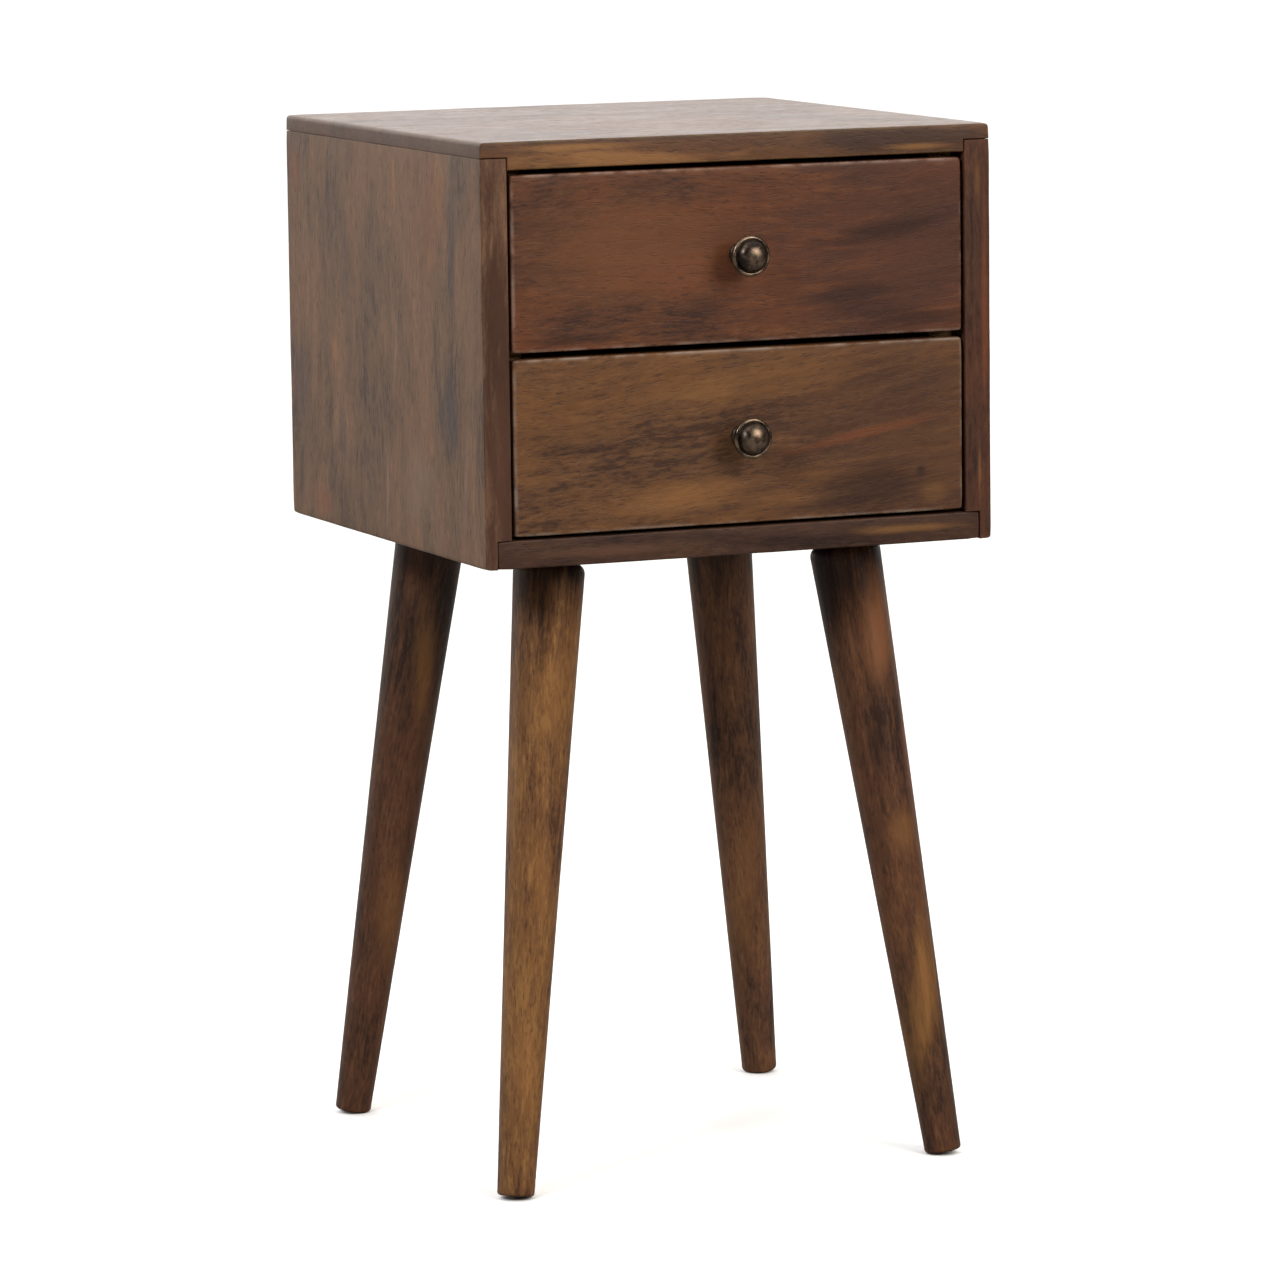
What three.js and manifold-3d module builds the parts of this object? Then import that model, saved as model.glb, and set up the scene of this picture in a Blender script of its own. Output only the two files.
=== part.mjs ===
// A two-drawer nightstand: a rabbeted box of solid boards on four splayed, turned legs.
// Millimetres, +Z up. The drawer fronts face -Y and the drawers pull out that way.
// The origin is on the floor, under the middle of the whole object, knobs included.
import * as THREE from "three";
import { mergeVertices } from "three/addons/utils/BufferGeometryUtils.js";
import Module from "manifold-3d";

// ---------------------------------------------------------------- driving dimensions

// Carcass
const CARCASS_WIDTH = 350;
const CARCASS_DEPTH = 350;
const BOARD = 18; // thickness of the top, the sides and the bottom
const TONGUE = 10; // what the top keeps over a side's end
const FOOT_LAP = 8; // what a side keeps outside the bottom's end
const OUTER_EASE = 2.5; // rounding along the outer edges at the top and at the sides' feet
const BOARD_EASE = 1; // rounding of the other edges
const BACK_THICKNESS = 5;
const BACK_LAP = 8; // how far the back laps onto each board
const BACK_RECESS = 3; // from the carcass's rear face in to the back

// Drawer fronts and the reveals around them
const FRONT_HEIGHT = 111;
const FRONT_THICKNESS = 18;
const FRONT_EASE = 1.2; // rounding of the front's upper and lower edges
const FRONT_CORNER = 2; // rounding of its two upright edges, more than the ease
const REVEAL_SIDE = 2;
const REVEAL_TOP = 3;
const REVEAL_BETWEEN = 4;
const REVEAL_BOTTOM = 2;

// Drawer boxes
const DRAWER_SIDE = 12; // thickness of a drawer's sides and back
const BOX_RISE = 10.5; // box underside above the front's lower edge
const BOX_DROP = 14.5; // box top edge below the front's upper edge
const FRONT_LIP = 9; // what the front keeps in front of a side's end
const DRAWER_BOTTOM = 5;
const BOTTOM_RISE = 8; // groove above the side's lower edge
const GROOVE_DEPTH = 5;
const SIDE_EASE = 1.5; // rounding along a side's upper edges

// Bearers, kickers and stops that guide the drawers
const BEARER_WIDTH = 16;
const BEARER_SETBACK = 2; // bearer end behind the drawer front's rear face
const STOP_LENGTH = 14;
const STOP_HEIGHT = 20;

// Legs
const LEG_HEIGHT = 407; // floor to the carcass's underside
const LEG_INSET_X = 72.5; // carcass edge to the leg's axis, at the underside
const LEG_INSET_Y = 72.5;
const LEG_SPLAY_SIDEWAYS = 6.8; // degrees
const LEG_SPLAY_LENGTHWAYS = 6.3; // degrees, towards the front or the back
const LEG_TOP_DIAMETER = 46.5; // the taper carried up to the underside
const LEG_FOOT_DIAMETER = 24;
const LEG_SHOULDER = 7; // rounding of the head end
const LEG_SHOULDER_DROP = 2.5; // the head's high side below the underside
const LEG_SEAT_DIAMETER = 32; // the seat on the head, which bears on the underside
const LEG_FOOT_EASE = 2.2; // rounding of the foot end

// Knobs
const KNOB_PROJECTION = 25;
const KNOB_RIM_DIAMETER = 26;
const KNOB_RIM_THICKNESS = 3.4;
const KNOB_DOME_DIAMETER = 20.6;
const KNOB_DOME_HEIGHT = 6.4;
const KNOB_NECK_DIAMETER = 10;
const KNOB_FOOT_DIAMETER = 15;
const KNOB_FOOT_THICKNESS = 2;

// Fasteners
const BOLT = { shank: 8, flats: 13, head: 5.3, length: 55 };
const WASHER = { hole: 8.4, outer: 17, thickness: 1.6 };
const BEARER_SCREW = { shank: 4, head: 8, countersink: 2.6, length: 28 };
const BACK_SCREW = { shank: 2.8, head: 6, dome: 1.9, length: 16 };
const KNOB_SCREW = { shank: 4, head: 8, dome: 2.6, length: 26 };
const BEARER_SCREW_INSET = 55; // from either end of a bearer or kicker

// Clearances
const GLUE_LINE = 0.1; // between two glued faces
const SEAT_GAP = 0.3; // between a leg's seat and the underside
const HOLE_CLEARANCE = 0.3; // radial, between a fastener and its hole
const RUNNING_GAP = 0.5; // under a drawer, and between its back and its stop
const TIP_GAP = 1.5; // above a drawer's sides
const PLY_CLEARANCE = 0.2; // around a sheet in its groove or rabbet

// Roundness
const LEG_SEGMENTS = 32;
const KNOB_SEGMENTS = 28;
const BOLT_SEGMENTS = 16;
const SCREW_SEGMENTS = 10;

// ---------------------------------------------------------------- derived places

const DRAWER_NAMES = ["lower", "upper"]; // from the bottom up
const CAVITY_WIDTH = CARCASS_WIDTH - 2 * BOARD;
const CAVITY_HEIGHT =
  REVEAL_BOTTOM + DRAWER_NAMES.length * FRONT_HEIGHT + (DRAWER_NAMES.length - 1) * REVEAL_BETWEEN + REVEAL_TOP;
const CARCASS_HEIGHT = CAVITY_HEIGHT + 2 * BOARD;
const CAVITY_CEILING = BOARD + CAVITY_HEIGHT; // above the underside
const CAVITY_DEPTH = CARCASS_DEPTH - BACK_RECESS - BACK_THICKNESS;
const FRONT_WIDTH = CAVITY_WIDTH - 2 * REVEAL_SIDE;
const BOX_HEIGHT = FRONT_HEIGHT - BOX_RISE - BOX_DROP;
const BOX_INNER_WIDTH = FRONT_WIDTH - 2 * DRAWER_SIDE;
const DRAWER_LENGTH = CAVITY_DEPTH - GLUE_LINE - STOP_LENGTH - RUNNING_GAP;

// ---------------------------------------------------------------- materials

const finish = (color, roughness, metalness = 0) => new THREE.MeshStandardMaterial({ color, roughness, metalness });
const stainedTop = () => finish(0x7d5a3e, 0.35);
const stainedSide = () => finish(0x6b5040, 0.4);
const stainedFront = () => finish(0x69452f, 0.4);
const stainedLeg = () => finish(0x5f4030, 0.38);
const bareWood = () => finish(0xb08c62, 0.7);
const plywood = () => finish(0xa9855c, 0.75);
const antiqueBrass = () => finish(0x4a4034, 0.32, 1);
const zincSteel = () => finish(0x9a9a94, 0.4, 1);

// ---------------------------------------------------------------- solids

const wasm = await Module();
wasm.setup();

// A closed geometry as a solid that can be joined and cut.
function solidOf(geometry) {
  const bare = geometry.clone();
  bare.deleteAttribute("normal");
  bare.deleteAttribute("uv");
  const merged = mergeVertices(bare);
  return new wasm.Manifold(
    new wasm.Mesh({
      numProp: 3,
      vertProperties: merged.getAttribute("position").array,
      triVerts: new Uint32Array(merged.index.array),
    }),
  );
}

function geometryOf(solid) {
  const mesh = solid.getMesh();
  const geometry = new THREE.BufferGeometry();
  geometry.setAttribute("position", new THREE.BufferAttribute(mesh.vertProperties, 3));
  geometry.setIndex(new THREE.BufferAttribute(mesh.triVerts, 1));
  const faceted = geometry.toNonIndexed();
  faceted.computeVertexNormals();
  return faceted;
}

const cut = (geometry, tools) =>
  geometryOf(tools.reduce((rest, tool) => rest.subtract(solidOf(tool)), solidOf(geometry)));

const join = (geometry, other) => geometryOf(solidOf(geometry).add(solidOf(other)));

const common = (geometry, other) => geometryOf(solidOf(geometry).intersect(solidOf(other)));

// A box between two corners.
function block(low, high) {
  const size = high.map((value, axis) => value - low[axis]);
  const middle = high.map((value, axis) => (value + low[axis]) / 2);
  return new THREE.BoxGeometry(...size).translate(...middle);
}

// An outline through [x, y, rounding] corners.
function outline(corners) {
  const shape = new THREE.Shape();
  corners.forEach(([x, y, rounding = 0], index) => {
    const corner = new THREE.Vector2(x, y);
    const towards = (step) => {
      const [nextX, nextY] = corners[(index + step + corners.length) % corners.length];
      return new THREE.Vector2(nextX, nextY).sub(corner).setLength(rounding).add(corner);
    };
    const start = towards(-1);
    if (index === 0) shape.moveTo(start.x, start.y);
    else shape.lineTo(start.x, start.y);
    const end = towards(1);
    if (rounding > 0) shape.quadraticCurveTo(x, y, end.x, end.y);
  });
  shape.closePath();
  return shape;
}

// An outline drawn in plan or in section, made into a board of the given length with eased ends.
function board(corners, length, ease = 0) {
  const geometry = new THREE.ExtrudeGeometry(outline(corners), {
    depth: length - 2 * ease,
    curveSegments: 3,
    bevelEnabled: ease > 0,
    bevelThickness: ease,
    bevelSize: ease,
    bevelOffset: -ease,
    bevelSegments: 2,
  });
  return geometry.translate(0, 0, ease);
}

// The outline lies in the XY plane and the board stands up along Z.
const standingBoard = board;

// The outline lies in the XZ plane and the board runs back along Y.
const lyingBoard = (corners, length, ease) => board(corners, length, ease).rotateX(Math.PI / 2).translate(0, length, 0);

// Points on a quarter circle, from one angle to another in degrees.
function arc(x, y, radius, from, to, steps = 4) {
  return Array.from({ length: steps + 1 }, (_, step) => {
    const angle = THREE.MathUtils.degToRad(from + ((to - from) * step) / steps);
    return new THREE.Vector2(x + radius * Math.cos(angle), y + radius * Math.sin(angle));
  });
}

// A turned piece standing on Z, from [radius, height] points that run up from the axis.
function turned(points, segments) {
  const profile = points.map((point) => (point.isVector2 ? point : new THREE.Vector2(...point)));
  return new THREE.LatheGeometry(profile, segments).rotateX(Math.PI / 2);
}

const rod = (radius, bottom, top, segments) => turned([[0, bottom], [radius, bottom], [radius, top], [0, top]], segments);

function piece(name, geometry, material) {
  const mesh = new THREE.Mesh(geometry, material);
  mesh.name = name;
  return mesh;
}

// Where a fastener goes: its head's seat, and the way its head faces.
function seat(place, facing) {
  const turn = new THREE.Quaternion().setFromUnitVectors(new THREE.Vector3(0, 0, 1), new THREE.Vector3(...facing));
  return new THREE.Matrix4().compose(new THREE.Vector3(...place), turn, new THREE.Vector3(1, 1, 1));
}

function seated(name, geometry, material, matrix) {
  const mesh = piece(name, geometry, material);
  mesh.applyMatrix4(matrix);
  return mesh;
}

const SIDES = [
  { name: "left", x: -1 },
  { name: "right", x: 1 },
];
const ENDS = [
  { name: "front", y: -1 },
  { name: "back", y: 1 },
];

// ---------------------------------------------------------------- fasteners

// Countersunk wood screw, its head's face at 0 and its point down. grow makes the hole for it.
function countersunkScrew({ shank, head, countersink, length }, grow = 0) {
  const mouth = grow > 0 ? [[head / 2 + grow, 1], [0, 1]] : [[0, 0]];
  return turned(
    [
      [0, -length - grow],
      [shank / 2 + grow, -length + shank - grow],
      [shank / 2 + grow, -countersink - grow],
      [head / 2 + grow, -grow / 2],
      ...mouth,
    ],
    SCREW_SEGMENTS,
  );
}

// Round-headed screw, seated at 0 with its shank down.
function roundHeadScrew({ shank, head, dome, length }) {
  return turned(
    [
      [0, -length],
      [shank / 2, -length + shank / 2],
      [shank / 2, 0],
      [head / 2, 0],
      [head / 2, dome * 0.4],
      [head / 3, dome * 0.85],
      [0, dome],
    ],
    SCREW_SEGMENTS,
  );
}

const shankHole = ({ shank, length }) =>
  rod(shank / 2 + HOLE_CLEARANCE, -length - HOLE_CLEARANCE, 1, SCREW_SEGMENTS);

function bolt() {
  const head = new THREE.CylinderGeometry(BOLT.flats / Math.sqrt(3), BOLT.flats / Math.sqrt(3), BOLT.head, 6)
    .rotateX(Math.PI / 2)
    .translate(0, 0, BOLT.head / 2);
  return join(head, rod(BOLT.shank / 2, -BOLT.length, BOLT.head / 2, BOLT_SEGMENTS));
}

function washer() {
  const [inner, outer, height] = [WASHER.hole / 2, WASHER.outer / 2, WASHER.thickness];
  return turned([[inner, 0], [outer, 0], [outer, height], [inner, height], [inner, 0]], BOLT_SEGMENTS);
}

// ---------------------------------------------------------------- carcass

// The carcass's own frame: its underside at 0, its front face at y 0, x from its middle.
const legHead = (side, end) => [
  side.x * (CARCASS_WIDTH / 2 - LEG_INSET_X),
  CARCASS_DEPTH / 2 + end.y * (CARCASS_DEPTH / 2 - LEG_INSET_Y),
];

const boltHole = () => rod(BOLT.shank / 2 + HOLE_CLEARANCE, -BOLT.length - HOLE_CLEARANCE, BOARD + 1, BOLT_SEGMENTS);

// The rabbet that the back sits in, open to the rear.
function backRabbet() {
  const halfWidth = CAVITY_WIDTH / 2 + BACK_LAP + PLY_CLEARANCE;
  return block(
    [-halfWidth, CAVITY_DEPTH - PLY_CLEARANCE, BOARD - BACK_LAP - PLY_CLEARANCE],
    [halfWidth, CARCASS_DEPTH + 1, CAVITY_CEILING + BACK_LAP + PLY_CLEARANCE],
  );
}

// Half the lap is where the back's screws go; one each in the top and the bottom, two in each side.
function backScrewSeats() {
  const rear = CAVITY_DEPTH + BACK_THICKNESS + GLUE_LINE;
  const lapMiddle = BACK_LAP / 2;
  const levels = [0.25, 0.75].map((share) => BOARD + share * CAVITY_HEIGHT);
  return [
    [0, rear, BOARD - lapMiddle],
    [0, rear, CAVITY_CEILING + lapMiddle],
    ...SIDES.flatMap(({ x }) => levels.map((z) => [x * (CAVITY_WIDTH / 2 + lapMiddle), rear, z])),
  ].map((place) => seat(place, [0, 1, 0]));
}

const backScrewHoles = () => backScrewSeats().map((matrix) => shankHole(BACK_SCREW).applyMatrix4(matrix));

// Section of the top: a full-thickness middle between the sides, and a tongue over each side.
function topPanel() {
  const [outer, inner] = [CARCASS_WIDTH / 2, CAVITY_WIDTH / 2 - GLUE_LINE];
  const section = [
    [-inner, 0],
    [inner, 0],
    [inner, BOARD - TONGUE],
    [outer, BOARD - TONGUE],
    [outer, BOARD, OUTER_EASE],
    [-outer, BOARD, OUTER_EASE],
    [-outer, BOARD - TONGUE],
    [-inner, BOARD - TONGUE],
  ];
  const panel = lyingBoard(section, CARCASS_DEPTH, BOARD_EASE).translate(0, 0, CAVITY_CEILING);
  return piece("top_panel", cut(panel, [backRabbet(), ...backScrewHoles()]), stainedTop());
}

// The bottom lies between the sides' foot laps and is bored for the leg bolts.
function bottomPanel() {
  const end = CARCASS_WIDTH / 2 - FOOT_LAP - GLUE_LINE;
  const section = [
    [-end, 0],
    [end, 0],
    [end, BOARD],
    [-end, BOARD],
  ];
  const holes = SIDES.flatMap((side) => ENDS.map((row) => boltHole().translate(...legHead(side, row), 0)));
  const panel = lyingBoard(section, CARCASS_DEPTH, BOARD_EASE);
  return piece("bottom_panel", cut(panel, [backRabbet(), ...holes, ...backScrewHoles()]), stainedFront());
}

// Each side ends square under the top's tongue. At its foot a rabbet takes the bottom.
function sidePanel(side) {
  const plan = [
    [-BOARD / 2, 0, BOARD_EASE],
    [BOARD / 2, 0, BOARD_EASE],
    [BOARD / 2, CARCASS_DEPTH, BOARD_EASE],
    [-BOARD / 2, CARCASS_DEPTH, BOARD_EASE],
  ];
  const head = CARCASS_HEIGHT - TONGUE - GLUE_LINE;
  const shoulder = BOARD + GLUE_LINE;
  const [outer, lap, inner] = [CARCASS_WIDTH / 2, CARCASS_WIDTH / 2 - FOOT_LAP, CAVITY_WIDTH / 2].map((x) => side.x * x);
  const section = [
    [outer, 0, OUTER_EASE],
    [lap, 0],
    [lap, shoulder],
    [inner, shoulder],
    [inner, head],
    [outer, head],
  ];
  const standing = standingBoard(plan, head).translate(side.x * (CARCASS_WIDTH - BOARD) * 0.5, 0, 0);
  const panel = common(standing, lyingBoard(section, CARCASS_DEPTH + 2).translate(0, -1, 0));
  const holes = guideScrewSeats(side).map((matrix) => countersunkScrew(BEARER_SCREW, HOLE_CLEARANCE).applyMatrix4(matrix));
  return piece(`${side.name}_side_panel`, cut(panel, [backRabbet(), ...holes, ...backScrewHoles()]), stainedSide());
}

function backPanel() {
  const halfWidth = CAVITY_WIDTH / 2 + BACK_LAP;
  const sheet = block(
    [-halfWidth, CAVITY_DEPTH, BOARD - BACK_LAP],
    [halfWidth, CAVITY_DEPTH + BACK_THICKNESS, CAVITY_CEILING + BACK_LAP],
  );
  return piece("back_panel", cut(sheet, backScrewHoles()), plywood());
}

// ---------------------------------------------------------------- drawer guides

const frontBottom = (index) => BOARD + REVEAL_BOTTOM + index * (FRONT_HEIGHT + REVEAL_BETWEEN);
const boxBottom = (index) => frontBottom(index) + BOX_RISE;
const boxTop = (index) => boxBottom(index) + BOX_HEIGHT;
const GUIDE_FRONT = FRONT_THICKNESS + BEARER_SETBACK;
const GUIDE_REAR = CAVITY_DEPTH - GLUE_LINE;

// Each guide's name and the heights it fills: a bearer under each drawer, a kicker over the last.
// The upper drawer's bearer is also what keeps the lower drawer from tipping.
const GUIDES = [
  ...DRAWER_NAMES.map((name, index) => ({
    name: (side) => `${name}_${side}_bearer`,
    low: index === 0 ? BOARD + GLUE_LINE : boxTop(index - 1) + TIP_GAP,
    high: boxBottom(index) - RUNNING_GAP,
  })),
  {
    name: (side) => `${side}_kicker`,
    low: boxTop(DRAWER_NAMES.length - 1) + TIP_GAP,
    high: CAVITY_CEILING - GLUE_LINE,
  },
];

const guideFace = (side) => side.x * (CAVITY_WIDTH / 2 - BEARER_WIDTH); // the face away from the side panel

function guideScrewPlaces(side, { low, high }) {
  return [GUIDE_FRONT + BEARER_SCREW_INSET, GUIDE_REAR - BEARER_SCREW_INSET].map((y) =>
    seat([guideFace(side), y, (low + high) / 2], [-side.x, 0, 0]),
  );
}

const guideScrewSeats = (side) => GUIDES.flatMap((guide) => guideScrewPlaces(side, guide));

function guide(side, spec) {
  const near = guideFace(side);
  const far = side.x * (CAVITY_WIDTH / 2 - GLUE_LINE);
  const batten = block([Math.min(near, far), GUIDE_FRONT, spec.low], [Math.max(near, far), GUIDE_REAR, spec.high]);
  const holes = guideScrewPlaces(side, spec).map((matrix) =>
    countersunkScrew(BEARER_SCREW, HOLE_CLEARANCE).applyMatrix4(matrix),
  );
  return piece(spec.name(side.name), cut(batten, holes), bareWood());
}

function guideScrews(side, spec) {
  return guideScrewPlaces(side, spec).map((matrix, index) =>
    seated(`${spec.name(side.name)}_screw_${index + 1}`, countersunkScrew(BEARER_SCREW), zincSteel(), matrix),
  );
}

// A block glued on the rear end of a bearer, which the drawer's side closes against.
function stopBlock(side, name, index) {
  const near = guideFace(side);
  const far = side.x * (CAVITY_WIDTH / 2 - GLUE_LINE);
  const low = boxBottom(index) - RUNNING_GAP + GLUE_LINE;
  const geometry = block(
    [Math.min(near, far), GUIDE_REAR - STOP_LENGTH, low],
    [Math.max(near, far), GUIDE_REAR, low + STOP_HEIGHT],
  );
  return piece(`${name}_${side.name}_stop`, geometry, bareWood());
}

// ---------------------------------------------------------------- legs

const slope = (degrees) => Math.tan(THREE.MathUtils.degToRad(degrees));

// The leg is turned with a rounded head and foot and a narrower seat on the head, and leaned outward
// about the point where its axis meets the underside. The seat is planed level there, and the head
// hangs clear. That point is the mesh's own origin.
function leg(side, end) {
  const lean = new THREE.Vector3(-side.x * slope(LEG_SPLAY_SIDEWAYS), -end.y * slope(LEG_SPLAY_LENGTHWAYS), 1).normalize();
  const tilt = Math.sqrt(1 - lean.z * lean.z);
  const [headRadius, footRadius, seatRadius] = [LEG_TOP_DIAMETER / 2, LEG_FOOT_DIAMETER / 2, LEG_SEAT_DIAMETER / 2];
  const footRise = (footRadius - LEG_FOOT_EASE) * tilt + LEG_FOOT_EASE * (1 - lean.z);
  const below = (LEG_HEIGHT - footRise) / lean.z;
  const drop = (headRadius * tilt + LEG_SHOULDER_DROP) / lean.z;
  const endRadius = headRadius - ((headRadius - footRadius) * drop) / below;
  const shape = turned(
    [
      [0, -below],
      ...arc(footRadius - LEG_FOOT_EASE, -below + LEG_FOOT_EASE, LEG_FOOT_EASE, -90, 0, 3),
      ...arc(endRadius - LEG_SHOULDER, -drop - LEG_SHOULDER, LEG_SHOULDER, 0, 90),
      [seatRadius, -drop],
      [seatRadius, headRadius * tilt],
      [0, headRadius * tilt],
    ],
    LEG_SEGMENTS,
  ).applyQuaternion(new THREE.Quaternion().setFromUnitVectors(new THREE.Vector3(0, 0, 1), lean));
  const reach = LEG_TOP_DIAMETER;
  const planed = block([-reach, -reach, -SEAT_GAP], [reach, reach, reach]);
  const depth = BOLT.length - BOARD - WASHER.thickness + SEAT_GAP;
  const hole = rod(BOLT.shank / 2 + HOLE_CLEARANCE, -depth, SEAT_GAP, BOLT_SEGMENTS);
  const mesh = piece(`${end.name}_${side.name}_leg`, cut(shape, [planed, hole]), stainedLeg());
  mesh.position.set(...legHead(side, end), 0);
  return mesh;
}

// Each leg is held by a bolt through the bottom, its head and washer inside the carcass.
function legFixing(side, end) {
  const name = `${end.name}_${side.name}_leg`;
  const ring = piece(`${name}_washer`, washer(), zincSteel());
  ring.position.set(...legHead(side, end), BOARD + GLUE_LINE);
  const shaft = piece(`${name}_bolt`, bolt(), zincSteel());
  shaft.position.set(...legHead(side, end), BOARD + WASHER.thickness + 2 * GLUE_LINE);
  return [ring, shaft];
}

// ---------------------------------------------------------------- drawers

// The drawer's own frame: its front face at y 0, the front's lower edge at 0, x from its middle.
const knobScrewSeat = () => seat([0, FRONT_THICKNESS + GLUE_LINE, FRONT_HEIGHT / 2], [0, 1, 0]);

// Plan of the front: full width with a lip in front of each side.
function drawerFront(name) {
  const [outer, inner] = [FRONT_WIDTH / 2, BOX_INNER_WIDTH / 2 - GLUE_LINE];
  const plan = [
    [-outer, 0, FRONT_CORNER],
    [outer, 0, FRONT_CORNER],
    [outer, FRONT_LIP],
    [inner, FRONT_LIP],
    [inner, FRONT_THICKNESS],
    [-inner, FRONT_THICKNESS],
    [-inner, FRONT_LIP],
    [-outer, FRONT_LIP],
  ];
  const grooveLow = BOX_RISE + BOTTOM_RISE;
  const groove = block(
    [-outer, FRONT_THICKNESS - GROOVE_DEPTH, grooveLow],
    [outer, FRONT_THICKNESS + 1, grooveLow + DRAWER_BOTTOM + 2 * PLY_CLEARANCE],
  );
  const hole = shankHole(KNOB_SCREW).applyMatrix4(knobScrewSeat());
  const front = standingBoard(plan, FRONT_HEIGHT, FRONT_EASE);
  return piece(`${name}_drawer_front`, cut(front, [groove, hole]), stainedFront());
}

// Section of a side: eased along its upper edges, grooved inside for the bottom.
function drawerSide(name, side) {
  const [outer, inner] = [side.x * (FRONT_WIDTH / 2), side.x * (BOX_INNER_WIDTH / 2)];
  const grooved = side.x * (BOX_INNER_WIDTH / 2 + GROOVE_DEPTH);
  const grooveHigh = BOTTOM_RISE + DRAWER_BOTTOM + 2 * PLY_CLEARANCE;
  const section = [
    [outer, 0],
    [outer, BOX_HEIGHT, SIDE_EASE],
    [inner, BOX_HEIGHT, SIDE_EASE],
    [inner, grooveHigh],
    [grooved, grooveHigh],
    [grooved, BOTTOM_RISE],
    [inner, BOTTOM_RISE],
    [inner, 0],
  ];
  const start = FRONT_LIP + GLUE_LINE;
  const mesh = piece(`${name}_drawer_${side.name}_side`, lyingBoard(section, DRAWER_LENGTH - start), bareWood());
  mesh.position.set(0, start, BOX_RISE);
  return mesh;
}

// The back stands on the bottom, between the sides.
function drawerBack(name) {
  const halfWidth = BOX_INNER_WIDTH / 2 - GLUE_LINE;
  const low = BOTTOM_RISE + PLY_CLEARANCE + DRAWER_BOTTOM + GLUE_LINE;
  const section = [
    [-halfWidth, low],
    [halfWidth, low],
    [halfWidth, BOX_HEIGHT],
    [-halfWidth, BOX_HEIGHT],
  ];
  const mesh = piece(`${name}_drawer_back`, lyingBoard(section, DRAWER_SIDE), bareWood());
  mesh.position.set(0, DRAWER_LENGTH - DRAWER_SIDE, BOX_RISE);
  return mesh;
}

function drawerBottom(name) {
  const halfWidth = BOX_INNER_WIDTH / 2 + GROOVE_DEPTH - PLY_CLEARANCE;
  const low = BOX_RISE + BOTTOM_RISE + PLY_CLEARANCE;
  const sheet = block(
    [-halfWidth, FRONT_THICKNESS - GROOVE_DEPTH + PLY_CLEARANCE, low],
    [halfWidth, DRAWER_LENGTH, low + DRAWER_BOTTOM],
  );
  return piece(`${name}_drawer_bottom`, sheet, plywood());
}

// A turned knob: foot, waisted neck, flared rim and a domed face, standing off along -Y.
function knob(name) {
  const [rim, dome] = [KNOB_RIM_DIAMETER / 2, KNOB_DOME_DIAMETER / 2];
  const [neck, foot] = [KNOB_NECK_DIAMETER / 2, KNOB_FOOT_DIAMETER / 2];
  const rimRadius = KNOB_RIM_THICKNESS / 2;
  const rimHeight = KNOB_PROJECTION - KNOB_DOME_HEIGHT - rimRadius;
  const flareHeight = rimHeight - rimRadius - KNOB_FOOT_THICKNESS;
  const flare = Array.from({ length: 6 }, (_, step) => {
    const share = step / 5;
    const waist = 4 * (share - 0.35) ** 2;
    const radius = neck + (rim - rimRadius - neck) * Math.max(0, (share - 0.35) / 0.65) ** 2;
    return [radius + 0.5 * waist * (share < 0.35 ? 1 : 0), KNOB_FOOT_THICKNESS + share * flareHeight];
  });
  const domeBase = rimHeight + rimRadius;
  const domeRise = Array.from({ length: 6 }, (_, step) => {
    const angle = (Math.PI / 2) * (step / 6);
    return [dome * Math.cos(angle), domeBase + KNOB_DOME_HEIGHT * Math.sin(angle)];
  });
  const shape = turned(
    [
      [0, 0],
      [foot, 0],
      [foot, KNOB_FOOT_THICKNESS * 0.6],
      ...flare,
      ...arc(rim - rimRadius, rimHeight, rimRadius, -60, 75, 5),
      ...domeRise,
      [0, KNOB_PROJECTION],
    ],
    KNOB_SEGMENTS,
  );
  const depth = KNOB_SCREW.length - FRONT_THICKNESS + HOLE_CLEARANCE;
  const hole = rod(KNOB_SCREW.shank / 2 + HOLE_CLEARANCE, -1, depth, SCREW_SEGMENTS);
  return seated(
    `${name}_drawer_knob`,
    cut(shape, [hole]),
    antiqueBrass(),
    seat([0, -GLUE_LINE, FRONT_HEIGHT / 2], [0, -1, 0]),
  );
}

const knobScrew = (name) =>
  seated(`${name}_drawer_knob_screw`, roundHeadScrew(KNOB_SCREW), zincSteel(), knobScrewSeat());

function drawer(name, index) {
  const group = new THREE.Group();
  group.position.z = frontBottom(index);
  group.add(
    drawerFront(name),
    ...SIDES.map((side) => drawerSide(name, side)),
    drawerBack(name),
    drawerBottom(name),
    knob(name),
    knobScrew(name),
  );
  return group;
}

// ---------------------------------------------------------------- assembly

function backScrews() {
  return backScrewSeats().map((matrix, index) =>
    seated(`back_panel_screw_${index + 1}`, roundHeadScrew(BACK_SCREW), zincSteel(), matrix),
  );
}

const nightstand = new THREE.Group();
nightstand.position.set(0, (KNOB_PROJECTION + GLUE_LINE - CARCASS_DEPTH) / 2, LEG_HEIGHT);
nightstand.add(
  topPanel(),
  bottomPanel(),
  backPanel(),
  ...backScrews(),
  ...DRAWER_NAMES.map((name, index) => drawer(name, index)),
);
SIDES.forEach((side) => {
  nightstand.add(sidePanel(side), ...DRAWER_NAMES.map((name, index) => stopBlock(side, name, index)));
  GUIDES.forEach((spec) => nightstand.add(guide(side, spec), ...guideScrews(side, spec)));
  ENDS.forEach((end) => nightstand.add(leg(side, end), ...legFixing(side, end)));
});

export default nightstand;
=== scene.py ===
"""A two-drawer nightstand of stained solid wood: its finishes, turned pieces and fasteners."""

import math

import bmesh
import bpy
from mathutils import Euler, Matrix, Vector, noise


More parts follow.
